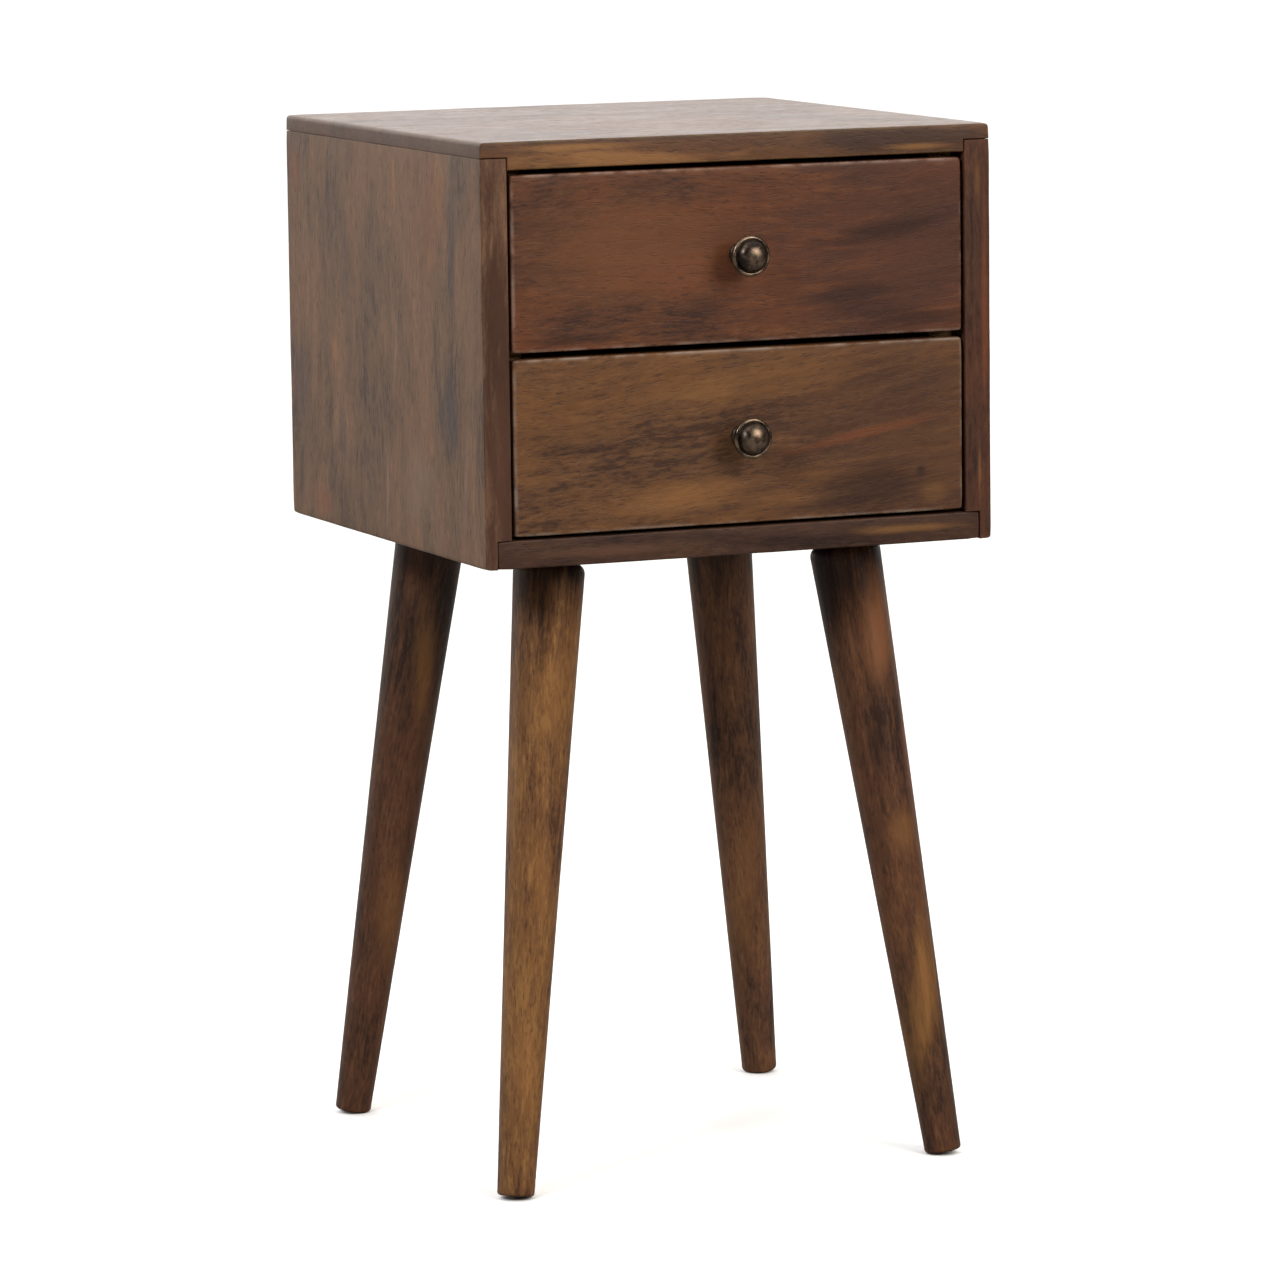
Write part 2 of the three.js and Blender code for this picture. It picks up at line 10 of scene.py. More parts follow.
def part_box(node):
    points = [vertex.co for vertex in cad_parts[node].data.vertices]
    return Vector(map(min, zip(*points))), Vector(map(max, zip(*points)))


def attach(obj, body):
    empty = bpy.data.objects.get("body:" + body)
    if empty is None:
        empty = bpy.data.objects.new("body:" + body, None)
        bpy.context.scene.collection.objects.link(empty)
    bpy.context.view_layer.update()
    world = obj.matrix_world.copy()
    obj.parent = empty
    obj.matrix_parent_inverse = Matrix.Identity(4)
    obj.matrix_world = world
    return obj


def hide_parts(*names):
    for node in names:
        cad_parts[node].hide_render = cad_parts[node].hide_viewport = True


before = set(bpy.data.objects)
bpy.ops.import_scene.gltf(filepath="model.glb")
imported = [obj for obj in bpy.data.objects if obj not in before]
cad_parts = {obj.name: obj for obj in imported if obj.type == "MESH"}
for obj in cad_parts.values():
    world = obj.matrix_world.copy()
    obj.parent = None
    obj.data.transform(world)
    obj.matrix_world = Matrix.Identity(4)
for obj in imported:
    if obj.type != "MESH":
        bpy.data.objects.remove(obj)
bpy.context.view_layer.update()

MM = 0.001
SIDES = ("left", "right")
ENDS = ("front", "back")
DRAWERS = ("lower", "upper")


def screen(code):
    """The linear colour of a #rrggbb screen colour."""
    shares = [int(code[place : place + 2], 16) / 255 for place in (1, 3, 5)]
    linear = (share / 12.92 if share <= 0.04045 else ((share + 0.055) / 1.055) ** 2.4 for share in shares)
    return (*linear, 1.0)


# ---------------------------------------------------------------- shader wiring


class Wiring:
    """Adds nodes to one tree. A value may be a number, a vector, a colour or another node's socket."""

    def __init__(self, tree):
        self.tree = tree

    def feed(self, value, socket):
        if isinstance(value, bpy.types.NodeSocket):
            self.tree.links.new(value, socket)
        else:
            socket.default_value = value

    def feed_all(self, node, inputs):
        for key, value in inputs.items():
            self.feed(value, node.inputs[key])

    def node(self, kind, inputs=None, **settings):
        made = self.tree.nodes.new(kind)
        for setting, value in settings.items():
            setattr(made, setting, value)
        self.feed_all(made, inputs or {})
        return made

    def group(self, name, inputs):
        return self.node("ShaderNodeGroup", inputs, node_tree=bpy.data.node_groups[name]).outputs

    def sum(self, operation, *values):
        return self.node("ShaderNodeMath", dict(enumerate(values)), operation=operation).outputs[0]

    def vector(self, operation, *values):
        made = self.node("ShaderNodeVectorMath", dict(enumerate(values)), operation=operation)
        return made.outputs["Value" if operation == "LENGTH" else "Vector"]

    def joined(self, x=0.0, y=0.0, z=0.0):
        return self.node("ShaderNodeCombineXYZ", {0: x, 1: y, 2: z}).outputs[0]

    def parts(self, vector):
        return self.node("ShaderNodeSeparateXYZ", {0: vector}).outputs

    def speckle(self, place, scale, detail=2.0, rough=0.5, bend=0.0, output="Fac"):
        """Noise with this many lumps to a metre along each axis."""
        place = self.vector("MULTIPLY", place, scale)
        inputs = {"Vector": place, "Scale": 1.0, "Detail": detail, "Roughness": rough, "Distortion": bend}
        return self.node("ShaderNodeTexNoise", inputs).outputs[output]

    def ease(self, value, start, end, low=0.0, high=1.0):
        """Low below start, high above end, and a smooth step between them."""
        inputs = {"Value": value, "From Min": start, "From Max": end, "To Min": low, "To Max": high}
        return self.node("ShaderNodeMapRange", inputs, interpolation_type="SMOOTHSTEP").outputs["Result"]

    def mix(self, amount, first, second):
        inputs = {0: amount, 6: first, 7: second}
        return self.node("ShaderNodeMix", inputs, data_type="RGBA").outputs[2]


def shader_group(name, inputs, outputs):
    """A new shader group with named sockets, its wiring, what comes in and what goes out."""
    tree = bpy.data.node_groups.new(name, "ShaderNodeTree")
    for label, kind, default in inputs:
        socket = tree.interface.new_socket(name=label, in_out="INPUT", socket_type="NodeSocket" + kind)
        if default is not None:
            socket.default_value = default
    for label, kind in outputs:
        tree.interface.new_socket(name=label, in_out="OUTPUT", socket_type="NodeSocket" + kind)
    wires = Wiring(tree)
    return wires, tree.nodes.new("NodeGroupInput").outputs, tree.nodes.new("NodeGroupOutput").inputs


GRAIN_MASKS = ("Clouds", "Streaks", "Rings", "Fibres", "Pores")
STREAK_LENGTHWAYS = 12.0
RING_SLOPE = 0.09
PITH = (0.0, 0.05, -0.12)


def make_timber_grain():
    """Grain that runs along X of the vector it is given, as five masks from 0 to 1."""
    wires, given, out = shader_group(
        "timber_grain",
        [
            ("Vector", "Vector", None),
            ("Seed", "Float", 0.0),
            ("Wander", "Float", 0.03),
            ("Streak Width", "Float", 0.014),
            ("Ring Width", "Float", 0.006),
        ],
        [(label, "Float") for label in GRAIN_MASKS],
    )
    shift = wires.joined(given["Seed"], given["Seed"], given["Seed"])
    start = wires.vector("ADD", given["Vector"], wires.vector("MULTIPLY", shift, (3.1, 1.7, 2.3)))
    drift = wires.speckle(start, (5.0, 9.0, 9.0), 1.5, 0.5, output="Color")
    centred = wires.vector("SUBTRACT", drift, (0.5, 0.5, 0.5))
    sway = wires.vector("MULTIPLY", centred, wires.joined(0.0, given["Wander"], given["Wander"]))
    bent = wires.vector("ADD", start, sway)
    wires.feed(wires.ease(wires.speckle(bent, (8.0, 21.0, 21.0), 5.0, 0.6), 0.3, 0.7), out["Clouds"])

    across = wires.sum("DIVIDE", 1.0, given["Streak Width"])
    streaks = wires.speckle(bent, wires.joined(STREAK_LENGTHWAYS, across, across), 6.0, 0.68, 0.3)
    wires.feed(wires.ease(streaks, 0.28, 0.72), out["Streaks"])

    from_pith = wires.vector("SUBTRACT", wires.vector("ADD", given["Vector"], sway), PITH)
    along, aside, above = wires.parts(from_pith)
    section = wires.joined(0.0, aside, wires.sum("MULTIPLY_ADD", along, RING_SLOPE, above))
    turns = wires.sum("DIVIDE", wires.vector("LENGTH", section), given["Ring Width"])
    rings = wires.speckle(wires.joined(turns, given["Seed"]), (1.0, 1.0, 1.0), 2.0, 0.6)
    wires.feed(wires.ease(rings, 0.3, 0.7), out["Rings"])

    wires.feed(wires.ease(wires.speckle(bent, (95.0, 420.0, 420.0), 5.0, 0.72), 0.3, 0.7), out["Fibres"])
    wires.feed(wires.ease(wires.speckle(bent, (120.0, 900.0, 900.0)), 0.56, 0.68), out["Pores"])


def make_stain_tone():
    """Turns the grain's masks into a stain's colour, from its deep tone to its pale one."""
    wires, given, out = shader_group(
        "stain_tone",
        [
            *((label, "Float", 0.5) for label in GRAIN_MASKS),
            ("Contrast", "Float", 1.0),
            ("Lightness", "Float", 0.5),
            ("Warmth", "Float", 0.5),
            *((label, "Color", None) for label in ("Deep", "Body", "Pale", "Tint")),
        ],
        [("Color", "Color")],
    )
    swing = 0.0
    for label, weight in (("Streaks", 0.34), ("Rings", 0.2), ("Clouds", 0.4), ("Fibres", 0.5)):
        swing = wires.sum("MULTIPLY_ADD", wires.sum("SUBTRACT", given[label], 0.5), weight, swing)
    tone = wires.sum("MULTIPLY_ADD", swing, given["Contrast"], given["Lightness"])
    low = wires.mix(wires.ease(tone, 0.05, 0.5), given["Deep"], given["Body"])
    full = wires.mix(wires.ease(tone, 0.5, 1.0), low, given["Pale"])
    patches = wires.ease(wires.sum("MULTIPLY_ADD", given["Streaks"], 0.35, given["Clouds"]), 0.35, 1.0)
    tinted = wires.mix(wires.sum("MULTIPLY", patches, given["Warmth"]), full, given["Tint"])
    wires.feed(wires.mix(wires.sum("MULTIPLY", given["Pores"], 0.6), tinted, given["Deep"]), out["Color"])


def make_local_mark():
    """A soft, ragged spot: full at the middle of its vector's unit ball, and nothing outside the ball."""
    wires, given, out = shader_group(
        "local_mark",
        [("Vector", "Vector", None), ("Grain", "Float", 0.5), ("Ragged", "Float", 0.35)],
        [("Mask", "Float")],
    )
    distance = wires.vector("LENGTH", given["Vector"])
    torn = wires.sum("MULTIPLY_ADD", wires.sum("SUBTRACT", given["Grain"], 0.5), given["Ragged"], distance)
    wires.feed(wires.ease(torn, 0.15, 1.0, 1.0, 0.0), out["Mask"])


def make_arris_wear_and_highlight():
    """Where two faces of a box meet, in uneven patches: edge wear, and on the drawer fronts also a painted
    highlight along their eased edges. Low and High are the box's corners.
    """
    wires, given, out = shader_group(
        "arris_wear_and_highlight",
        [
            ("Vector", "Vector", None),
            ("Low", "Vector", (-1.0, -1.0, -1.0)),
            ("High", "Vector", (1.0, 1.0, 1.0)),
            ("Width", "Float", 0.003),
        ],
        [("Mask", "Float")],
    )
    inside = wires.vector(
        "MINIMUM",
        wires.vector("SUBTRACT", given["Vector"], given["Low"]),
        wires.vector("SUBTRACT", given["High"], given["Vector"]),
    )
    a, b, c = wires.parts(inside)
    nearer, farther = wires.sum("MINIMUM", a, b), wires.sum("MAXIMUM", a, b)
    second = wires.sum("MAXIMUM", nearer, wires.sum("MINIMUM", farther, c))
    patchy = wires.speckle(given["Vector"], (55.0, 55.0, 55.0), 3.0, 0.6)
    worn = wires.sum("MULTIPLY", wires.ease(patchy, 0.35, 0.65), wires.ease(second, given["Width"], 0.0))
    wires.feed(worn, out["Mask"])


def make_rubbed_sheen():
    """A hand-rubbed lacquer: uneven gloss, pores that show through it, and a slight waviness."""
    wires, given, out = shader_group(
        "rubbed_sheen",
        [
            ("Vector", "Vector", None),
            ("Roughness", "Float", 0.4),
            ("Unevenness", "Float", 0.1),
            ("Fibres", "Float", 0.5),
            ("Pores", "Float", 0.0),
        ],
        [("Roughness", "Float"), ("Height", "Float")],
    )
    smears = wires.speckle(given["Vector"], (26.0, 60.0, 60.0), 3.0, 0.6)
    uneven = wires.sum("MULTIPLY", wires.sum("SUBTRACT", smears, 0.5), given["Unevenness"])
    dulled = wires.sum("MULTIPLY_ADD", given["Pores"], 0.12, given["Roughness"])
    wires.feed(wires.sum("ADD", dulled, wires.sum("MULTIPLY", uneven, 2.0)), out["Roughness"])
    skin = wires.speckle(given["Vector"], (35.0, 190.0, 190.0))
    height = wires.sum("MULTIPLY_ADD", skin, 0.5, wires.sum("MULTIPLY", given["Fibres"], 0.35))
    wires.feed(wires.sum("SUBTRACT", height, wires.sum("MULTIPLY", given["Pores"], 0.6)), out["Height"])


for make_group in (make_timber_grain, make_stain_tone, make_local_mark, make_arris_wear_and_highlight, make_rubbed_sheen):
    make_group()


# ---------------------------------------------------------------- finishes

ALONG_X = (0.0, 0.0, 0.0)
ALONG_Y = (0.0, 0.0, math.radians(-90))
ALONG_Z = (0.0, math.radians(90), 0.0)


def new_material(name):
    made = bpy.data.materials.new(name)
    made.use_nodes = True
    made.node_tree.nodes.clear()
    wires = Wiring(made.node_tree)
    shader = wires.node("ShaderNodeBsdfPrincipled")
    wires.node("ShaderNodeOutputMaterial", {"Surface": shader.outputs[0]})
    return made, wires, shader


RIGHT_THROUGH = 5000.0


def mark(place, reach, tone, strength, tilt=0.0, ragged=0.45):
    """A spot of colour on the surface, in millimetres: most are the wood's own stains, some are painted shade
    or painted sheen. A reach of 0 goes right through the board.
    """
    return dict(place=place, reach=reach, tone=tone, strength=strength, tilt=tilt, ragged=ragged)


def add_marks(wires, place, colour, grain, marks):
    """Paints a material's marks over its colour; the streaks break each one up."""
    for spot in marks:
        through = spot["reach"].index(0) if 0 in spot["reach"] else 1
        turn = [0.0, 0.0, 0.0]
        turn[through] = math.radians(spot["tilt"])
        local = wires.node(
            "ShaderNodeMapping",
            {
                "Vector": place,
                "Location": [value * MM for value in spot["place"]],
                "Rotation": turn,
                "Scale": [(value or RIGHT_THROUGH) * MM for value in spot["reach"]],
            },
            vector_type="TEXTURE",
        ).outputs[0]
        inputs = {"Vector": local, "Grain": grain["Streaks"], "Ragged": spot["ragged"]}
        mask = wires.group("local_mark", inputs)["Mask"]
        colour = wires.mix(wires.sum("MULTIPLY", mask, spot["strength"]), colour, screen(spot["tone"]))
    return colour


def wood(
    name,
    turn,
    tones,
    warmth=0.5,
    lightness=0.5,
    contrast=1.0,
    seed=1.0,
    wander=0.03,
    streak=0.014,
    ring=0.006,
    marks=(),
    end_grain=0.35,
    box=None,
    worn="#8a7a68",
    wear=0.0,
    gloss=0.4,
    unevenness=0.1,
    index=1.22,
    relief=0.12,
):
    """A wood finish whose grain is turned onto X. Tones are its deep, body and pale ones and its tint."""
    made, wires, shader = new_material(name)
    place = wires.node("ShaderNodeTexCoord").outputs
    turned = wires.node("ShaderNodeMapping", {"Vector": place["Object"], "Rotation": turn}).outputs[0]
    sizes = {"Seed": seed, "Wander": wander, "Streak Width": streak, "Ring Width": ring}
    grain = wires.group("timber_grain", {"Vector": turned, **sizes})
    inputs = {label: grain[label] for label in GRAIN_MASKS}
    inputs.update(Contrast=contrast, Lightness=lightness, Warmth=warmth)
    inputs.update(zip(("Deep", "Body", "Pale", "Tint"), map(screen, tones)))
    colour = wires.group("stain_tone", inputs)["Color"]
    colour = add_marks(wires, place["Object"], colour, grain, marks)
    facing = wires.node("ShaderNodeMapping", {"Vector": place["Normal"], "Rotation": turn}).outputs[0]
    end_face = wires.ease(wires.sum("ABSOLUTE", wires.parts(facing)[0]), 0.6, 0.95)
    colour = wires.mix(wires.sum("MULTIPLY", end_face, end_grain), colour, screen(tones[0]))
    # Edge tone along the box's arrises: edge wear, and on the drawer fronts also a painted highlight of light
    # caught on their eased edges.
    if box:
        inputs = {"Vector": place["Object"], "Low": box[0], "High": box[1]}
        arris = wires.group("arris_wear_and_highlight", inputs)["Mask"]
        colour = wires.mix(wires.sum("MULTIPLY", arris, wear), colour, screen(worn))
    inputs = {"Vector": turned, "Roughness": gloss, "Unevenness": unevenness}
    sheen = wires.group("rubbed_sheen", {**inputs, "Fibres": grain["Fibres"], "Pores": grain["Pores"]})
    bump = wires.node("ShaderNodeBump", {"Distance": relief * MM, "Height": sheen["Height"]}).outputs[0]
    finish = {"Base Color": colour, "Roughness": sheen["Roughness"], "Normal": bump, "IOR": index}
    wires.feed_all(shader, finish)
    return made


def tilted(turn, degrees):
    """A grain direction that leans in the drawer front's plane."""
    lean = Euler((0.0, math.radians(degrees), 0.0)).to_matrix()
    return tuple((Euler(turn).to_matrix() @ lean).to_euler())


def stained_board(name, node, turn, **finish):
    low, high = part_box(node)
    return wood(name, turn, box=(tuple(low), tuple(high)), **finish)


GOLD = "#96683c"
OCHRE = "#8d6236"
RUST = "#7c4428"
UMBER = "#2a1b16"
SLATE = "#41393a"
MAUVE = "#7b5f52"

top_stain = stained_board(
    "stained_top",
    "top_panel",
    ALONG_X,
    tones=("#301e13", "#53341f", "#714b29", "#5f3d22"),
    seed=2.4,
    wear=0.55,
    worn="#5f4c2a",
    contrast=0.6,
    index=1.32,
    end_grain=0.4,
    marks=[
        mark((-80, -163, 661), (140, 4, 7), GOLD, 0.5, ragged=0.9),
        mark((-110, -163, 669), (60, 4, 3), OCHRE, 0.6),
        mark((-60, -163, 672.5), (160, 5, 2), UMBER, 0.5),
        mark((115, -163, 666), (110, 5, 14), UMBER, 0.75),
        mark((125, -163, 661), (30, 4, 3), OCHRE, 0.5),
        mark((56, 107, 0), (14, 9, 0), UMBER, 0.6),
    ],
)

left_side_stain = stained_board(
    "stained_left_side",
    "left_side_panel",
    ALONG_Z,
    tones=("#48362e", "#634c3a", "#7c5e46", "#6f4e3a"),
    warmth=0.4,
    seed=5.2,
    streak=0.013,
    contrast=1.1,
    wear=0.25,
    worn="#5f4535",
    marks=[
        mark((0, -12, 640), (0, 4, 26), GOLD, 0.4),
        mark((0, -90, 640), (0, 13, 34), GOLD, 0.3),
        mark((0, -73, 595), (0, 6, 12), GOLD, 0.3),
        mark((0, 101, 524), (0, 7, 15), GOLD, 0.4),
        mark((0, 95, 506), (0, 3, 9), GOLD, 0.3),
        mark((0, -70, 620), (0, 50, 50), "#754b33", 0.4),
        mark((0, 170, 640), (0, 16, 18), RUST, 0.3),
        mark((0, 127, 422), (0, 22, 16), RUST, 0.35),
        mark((0, -103, 500), (0, 20, 40), SLATE, 0.6),
        mark((0, 90, 470), (0, 12, 40), SLATE, 0.5),
        mark((0, 165, 500), (0, 22, 46), SLATE, 0.45),
        mark((0, 82, 580), (0, 10, 60), SLATE, 0.35),
        mark((0, -112, 620), (0, 9, 60), SLATE, 0.5),
        mark((0, 8, 440), (0, 3, 34), MAUVE, 0.7, tilt=4),
        mark((0, -10, 530), (0, 4, 42), MAUVE, 0.45, tilt=10),
        mark((0, -130, 460), (0, 5, 60), MAUVE, 0.45, tilt=8),
        mark((0, -50, 450), (0, 40, 36), "#77604f", 0.5),
        mark((-164, -163, 0), (20, 4, 0), "#3c251c", 0.9, ragged=1.0),
        mark((-166, -163, 470), (12, 3, 70), "#55392a", 0.4),
    ],
)

right_side_stain = stained_board(
    "stained_right_side",
    "right_side_panel",
    ALONG_Z,
    tones=("#2b1c17", "#412a20", "#573a2a", "#4f2e21"),
    seed=8.7,
    streak=0.010,
    wear=0.2,
    worn="#6a4835",
    marks=[
        mark((166, -163, 636), (4, 5, 26), OCHRE, 0.2),
        mark((171, -163, 560), (3, 5, 110), RUST, 0.4),
        mark((162, -163, 600), (2.5, 5, 50), UMBER, 0.6),
        mark((167, -163, 450), (2, 5, 30), OCHRE, 0.35),
    ],
)

bottom_stain = stained_board(
    "stained_bottom",
    "bottom_panel",
    ALONG_X,
    tones=("#271b16", "#3b2820", "#50392a", "#442d22"),
    warmth=0.4,
    seed=11.3,
    wear=0.2,
    worn="#5c4030",
    marks=[
        mark((60, -163, 414), (90, 5, 5), UMBER, 0.5),
        mark((115, -163, 417), (50, 5, 4), OCHRE, 0.4),
        mark((-90, -163, 415), (80, 5, 5), "#5c4030", 0.5),
    ],
)

upper_front_stain = stained_board(
    "stained_upper_front",
    "upper_drawer_front",
    tilted(ALONG_X, 2.0),
    tones=("#36231c", "#4f3223", "#64422c", "#5f3520"),
    warmth=0.6,
    contrast=1.25,
    seed=3.6,
    streak=0.009,
    # The pale edge tone here is partly wear and partly a painted highlight along the eased edges.
    wear=0.7,
    worn="#8d7568",
    marks=[
        # Painted sheen over the wood's own tone: this broad darker patch on the right, with the lighter one
        # on the left, paints a soft reflection brighter to the left.
        mark((120, 0, 598), (150, 0, 130), "#432a22", 0.7, ragged=0.7),
        mark((98, 0, 609), (60, 0, 9), UMBER, 0.75, tilt=-8),
        mark((76, 0, 569), (40, 0, 13), UMBER, 0.55),
        mark((123, 0, 553), (52, 0, 8), UMBER, 0.6),
        mark((-20, 0, 569), (30, 0, 8), UMBER, 0.45),
        mark((-115, 0, 549), (48, 0, 4), UMBER, 0.6),
        # Partly the wood's own tone, partly painted sheen: the front's left part painted lighter, as a soft
        # reflection.
        mark((-85, 0, 605), (95, 0, 48), "#643f28", 0.6),
        mark((20, 0, 646), (120, 0, 6), UMBER, 0.25),
    ],
)

lower_front_stain = stained_board(
    "stained_lower_front",
    "lower_drawer_front",
    tilted(ALONG_X, 6.0),
    tones=("#3c281e", "#583c28", "#6e4d33", "#624024"),
    warmth=0.55,
    contrast=1.25,
    seed=7.9,
    streak=0.008,
    # The pale edge tone here is partly wear and partly a painted highlight along the eased edges.
    wear=0.7,
    worn="#8d7d70",
    marks=[
        mark((-44, 0, 446), (60, 0, 14), GOLD, 0.3, tilt=-7),
        mark((0, 0, 515), (90, 0, 12), OCHRE, 0.3, tilt=-4),
        # Painted sheen over the wood's own tone: this broad darker patch makes the right part darker than the
        # left, as a soft reflection brighter to the left.
        mark((115, 0, 482), (150, 0, 130), "#462e22", 0.65, ragged=0.7),
        mark((90, 0, 445), (60, 0, 24), UMBER, 0.6, tilt=-8),
        mark((90, 0, 481), (75, 0, 5), RUST, 0.35, tilt=-10),
        mark((125, 0, 454), (6, 0, 6), UMBER, 0.8),
        mark((134, 0, 440), (14, 0, 9), OCHRE, 0.2),
        mark((-110, 0, 480), (45, 0, 4), UMBER, 0.35),
    ],
)


FOOT_LIFT = 0.03 * MM


def leg_axis(end, side):
    """A leg's axis: the middle of its foot, and where it meets the carcass, over the bolt."""
    node = f"{end}_{side}_leg"
    low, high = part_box(node)
    points = {tuple(round(value, 7) for value in vertex.co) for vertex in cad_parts[node].data.vertices}
    foot_ring = [Vector(point) for point in points if point[2] < (low.z + high.z) / 2]
    bolt_low, bolt_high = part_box(node + "_bolt")
    bolt = (bolt_low + bolt_high) / 2
    head = Vector((bolt.x, bolt.y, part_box("bottom_panel")[0].z))
    middle_of_foot = sum(foot_ring, Vector()) / len(foot_ring)
    along = (head - middle_of_foot).normalized()
    lowest = min((point - middle_of_foot).dot(along) for point in foot_ring)
    return middle_of_foot + along * (lowest + FOOT_LIFT), head


# Each leg's stain and marks. The darkest marks at the tops and the dark stripes down the right sides are
# painted shade.
LEG_TONES = {
    ("front", "left"): dict(
        tones=("#3f2a1e", "#66452c", "#8b653c", "#74502e"),
        lightness=0.52,
        seed=14.2,
        marks=[
            # Painted shade: these two dark marks darken the leg's top, where the carcass above shades it.
            mark((-104, -95, 398), (44, 44, 17), "#150e0d", 0.9, ragged=0.6),
            mark((-120, -112, 385), (16, 44, 30), "#1e1412", 0.6, ragged=0.8),
            mark((-112, -112, 330), (15, 40, 40), OCHRE, 0.3),
            mark((-128, -120, 205), (11, 40, 50), OCHRE, 0.4),
            mark((-143, -130, 85), (10, 40, 46), GOLD, 0.35),
            # Painted shade: a dark stripe down the leg's right side, where it turns away from the light.
            mark((-104, -95, 260), (9, 40, 90), UMBER, 0.4),
        ],
    ),
    ("front", "right"): dict(
        tones=("#2f201a", "#4c3324", "#6b4a30", "#5a3826"),
        seed=17.5,
        marks=[
            # Painted shade: these two dark marks darken the leg's top, where the carcass above shades it.
            mark((92, -105, 380), (24, 44, 44), "#150e0d", 0.9, ragged=0.6),
            mark((104, -95, 398), (44, 44, 14), "#1a110f", 0.8, ragged=0.6),
            mark((116, -110, 345), (15, 40, 52), "#7a5034", 0.8),
            mark((136, -105, 280), (9, 40, 80), RUST, 0.5),
            mark((126, -120, 215), (13, 40, 20), OCHRE, 0.35),
            mark((137, -125, 105), (14, 40, 80), OCHRE, 0.75),
            mark((112, -110, 270), (8, 40, 50), UMBER, 0.6),
        ],
    ),
    ("back", "left"): dict(
        tones=("#2f211b", "#4b3224", "#664732", "#553525"),
        lightness=0.45,
        seed=21.1,
        marks=[
            # Painted shade: this dark mark darkens the leg's top, where the carcass above shades it.
            mark((-100, 110, 385), (50, 60, 26), "#1e1412", 0.7, ragged=0.6),
            # Painted shade: a dark stripe down the leg's right side, which faces the inside of the stand.
            mark((-92, 110, 340), (11, 60, 90), "#1e1412", 0.6),
            mark((-114, 110, 310), (10, 60, 60), OCHRE, 0.4),
            mark((-132, 130, 140), (12, 60, 60), OCHRE, 0.25),
        ],
    ),
    ("back", "right"): dict(
        tones=("#35261f", "#553a2a", "#735238", "#62402c"),
        seed=24.8,
        marks=[
            # Painted shade: this dark mark darkens the leg's top, where the carcass above shades it.
            mark((102, 110, 385), (50, 60, 50), "#1e1513", 0.8, ragged=0.6),
            # Painted shade: a dark stripe down the leg's right side, where it turns away from the light.
            mark((136, 140, 300), (14, 60, 110), UMBER, 0.5),
            mark((128, 140, 130), (12, 60, 90), OCHRE, 0.22),
        ],
    ),
}


def leg_stain(end, side):
    foot, head = leg_axis(end, side)
    turn = tuple((head - foot).rotation_difference(Vector((1, 0, 0))).to_euler())
    return wood(
        f"stained_{end}_{side}_leg",
        turn,
        contrast=1.3,
        wander=0.02,
        streak=0.009,
        ring=0.005,
        gloss=0.36,
        end_grain=0.5,
        **LEG_TONES[end, side],
    )


leg_stains = {(end, side): leg_stain(end, side) for end in ENDS for side in SIDES}

BARE = dict(
    tones=("#7d5a3a", "#b38d62", "#cfae82", "#b98f66"),
    warmth=0.3,
    contrast=0.7,
    end_grain=0.25,
    gloss=0.62,
    relief=0.15,
)
bare_along_y = wood("bare_wood_lengthways", ALONG_Y, seed=31.0, **BARE)
bare_along_x = wood("bare_wood_crossways", ALONG_X, seed=36.0, **BARE)

PLY_LAYER = 1.1 * MM
GLUE_LINE = 0.35 * MM


def ply(name, turn, through, tones, seed):
    """Rotary-cut veneer on its faces and glued layers along its edges. Through is its thickness axis."""
    made = wood(
        name,
        turn,
        tones,
        warmth=0.35,
        contrast=0.75,
        seed=seed,
        wander=0.09,
        streak=0.03,
        ring=0.009,
        gloss=0.6,
        unevenness=0.08,
        end_grain=0.0,
    )
    wires = Wiring(made.node_tree)
    colour = made.node_tree.nodes["Principled BSDF"].inputs["Base Color"]
    veneer = colour.links[0].from_socket
    place = wires.node("ShaderNodeTexCoord").outputs
    layer = wires.sum("PINGPONG", wires.parts(place["Object"])[through], PLY_LAYER)
    glue = wires.sum("MULTIPLY", wires.ease(layer, 0.0, GLUE_LINE, 1.0, 0.0), 0.75)
    layered = wires.mix(glue, screen(tones[1]), screen(tones[0]))
    facing = wires.sum("ABSOLUTE", wires.parts(place["Normal"])[through])
    wires.feed(wires.mix(wires.ease(facing, 0.4, 0.7, 1.0, 0.0), veneer, layered), colour)
    return made


back_ply = ply("stained_back_ply", ALONG_Z, 1, ("#3f2c22", "#6b4c38", "#84624a", "#745038"), 41.0)
drawer_ply = ply("drawer_bottom_ply", ALONG_X, 2, ("#8c6a48", "#b99468", "#d0b088", "#bf9a70"), 47.0)


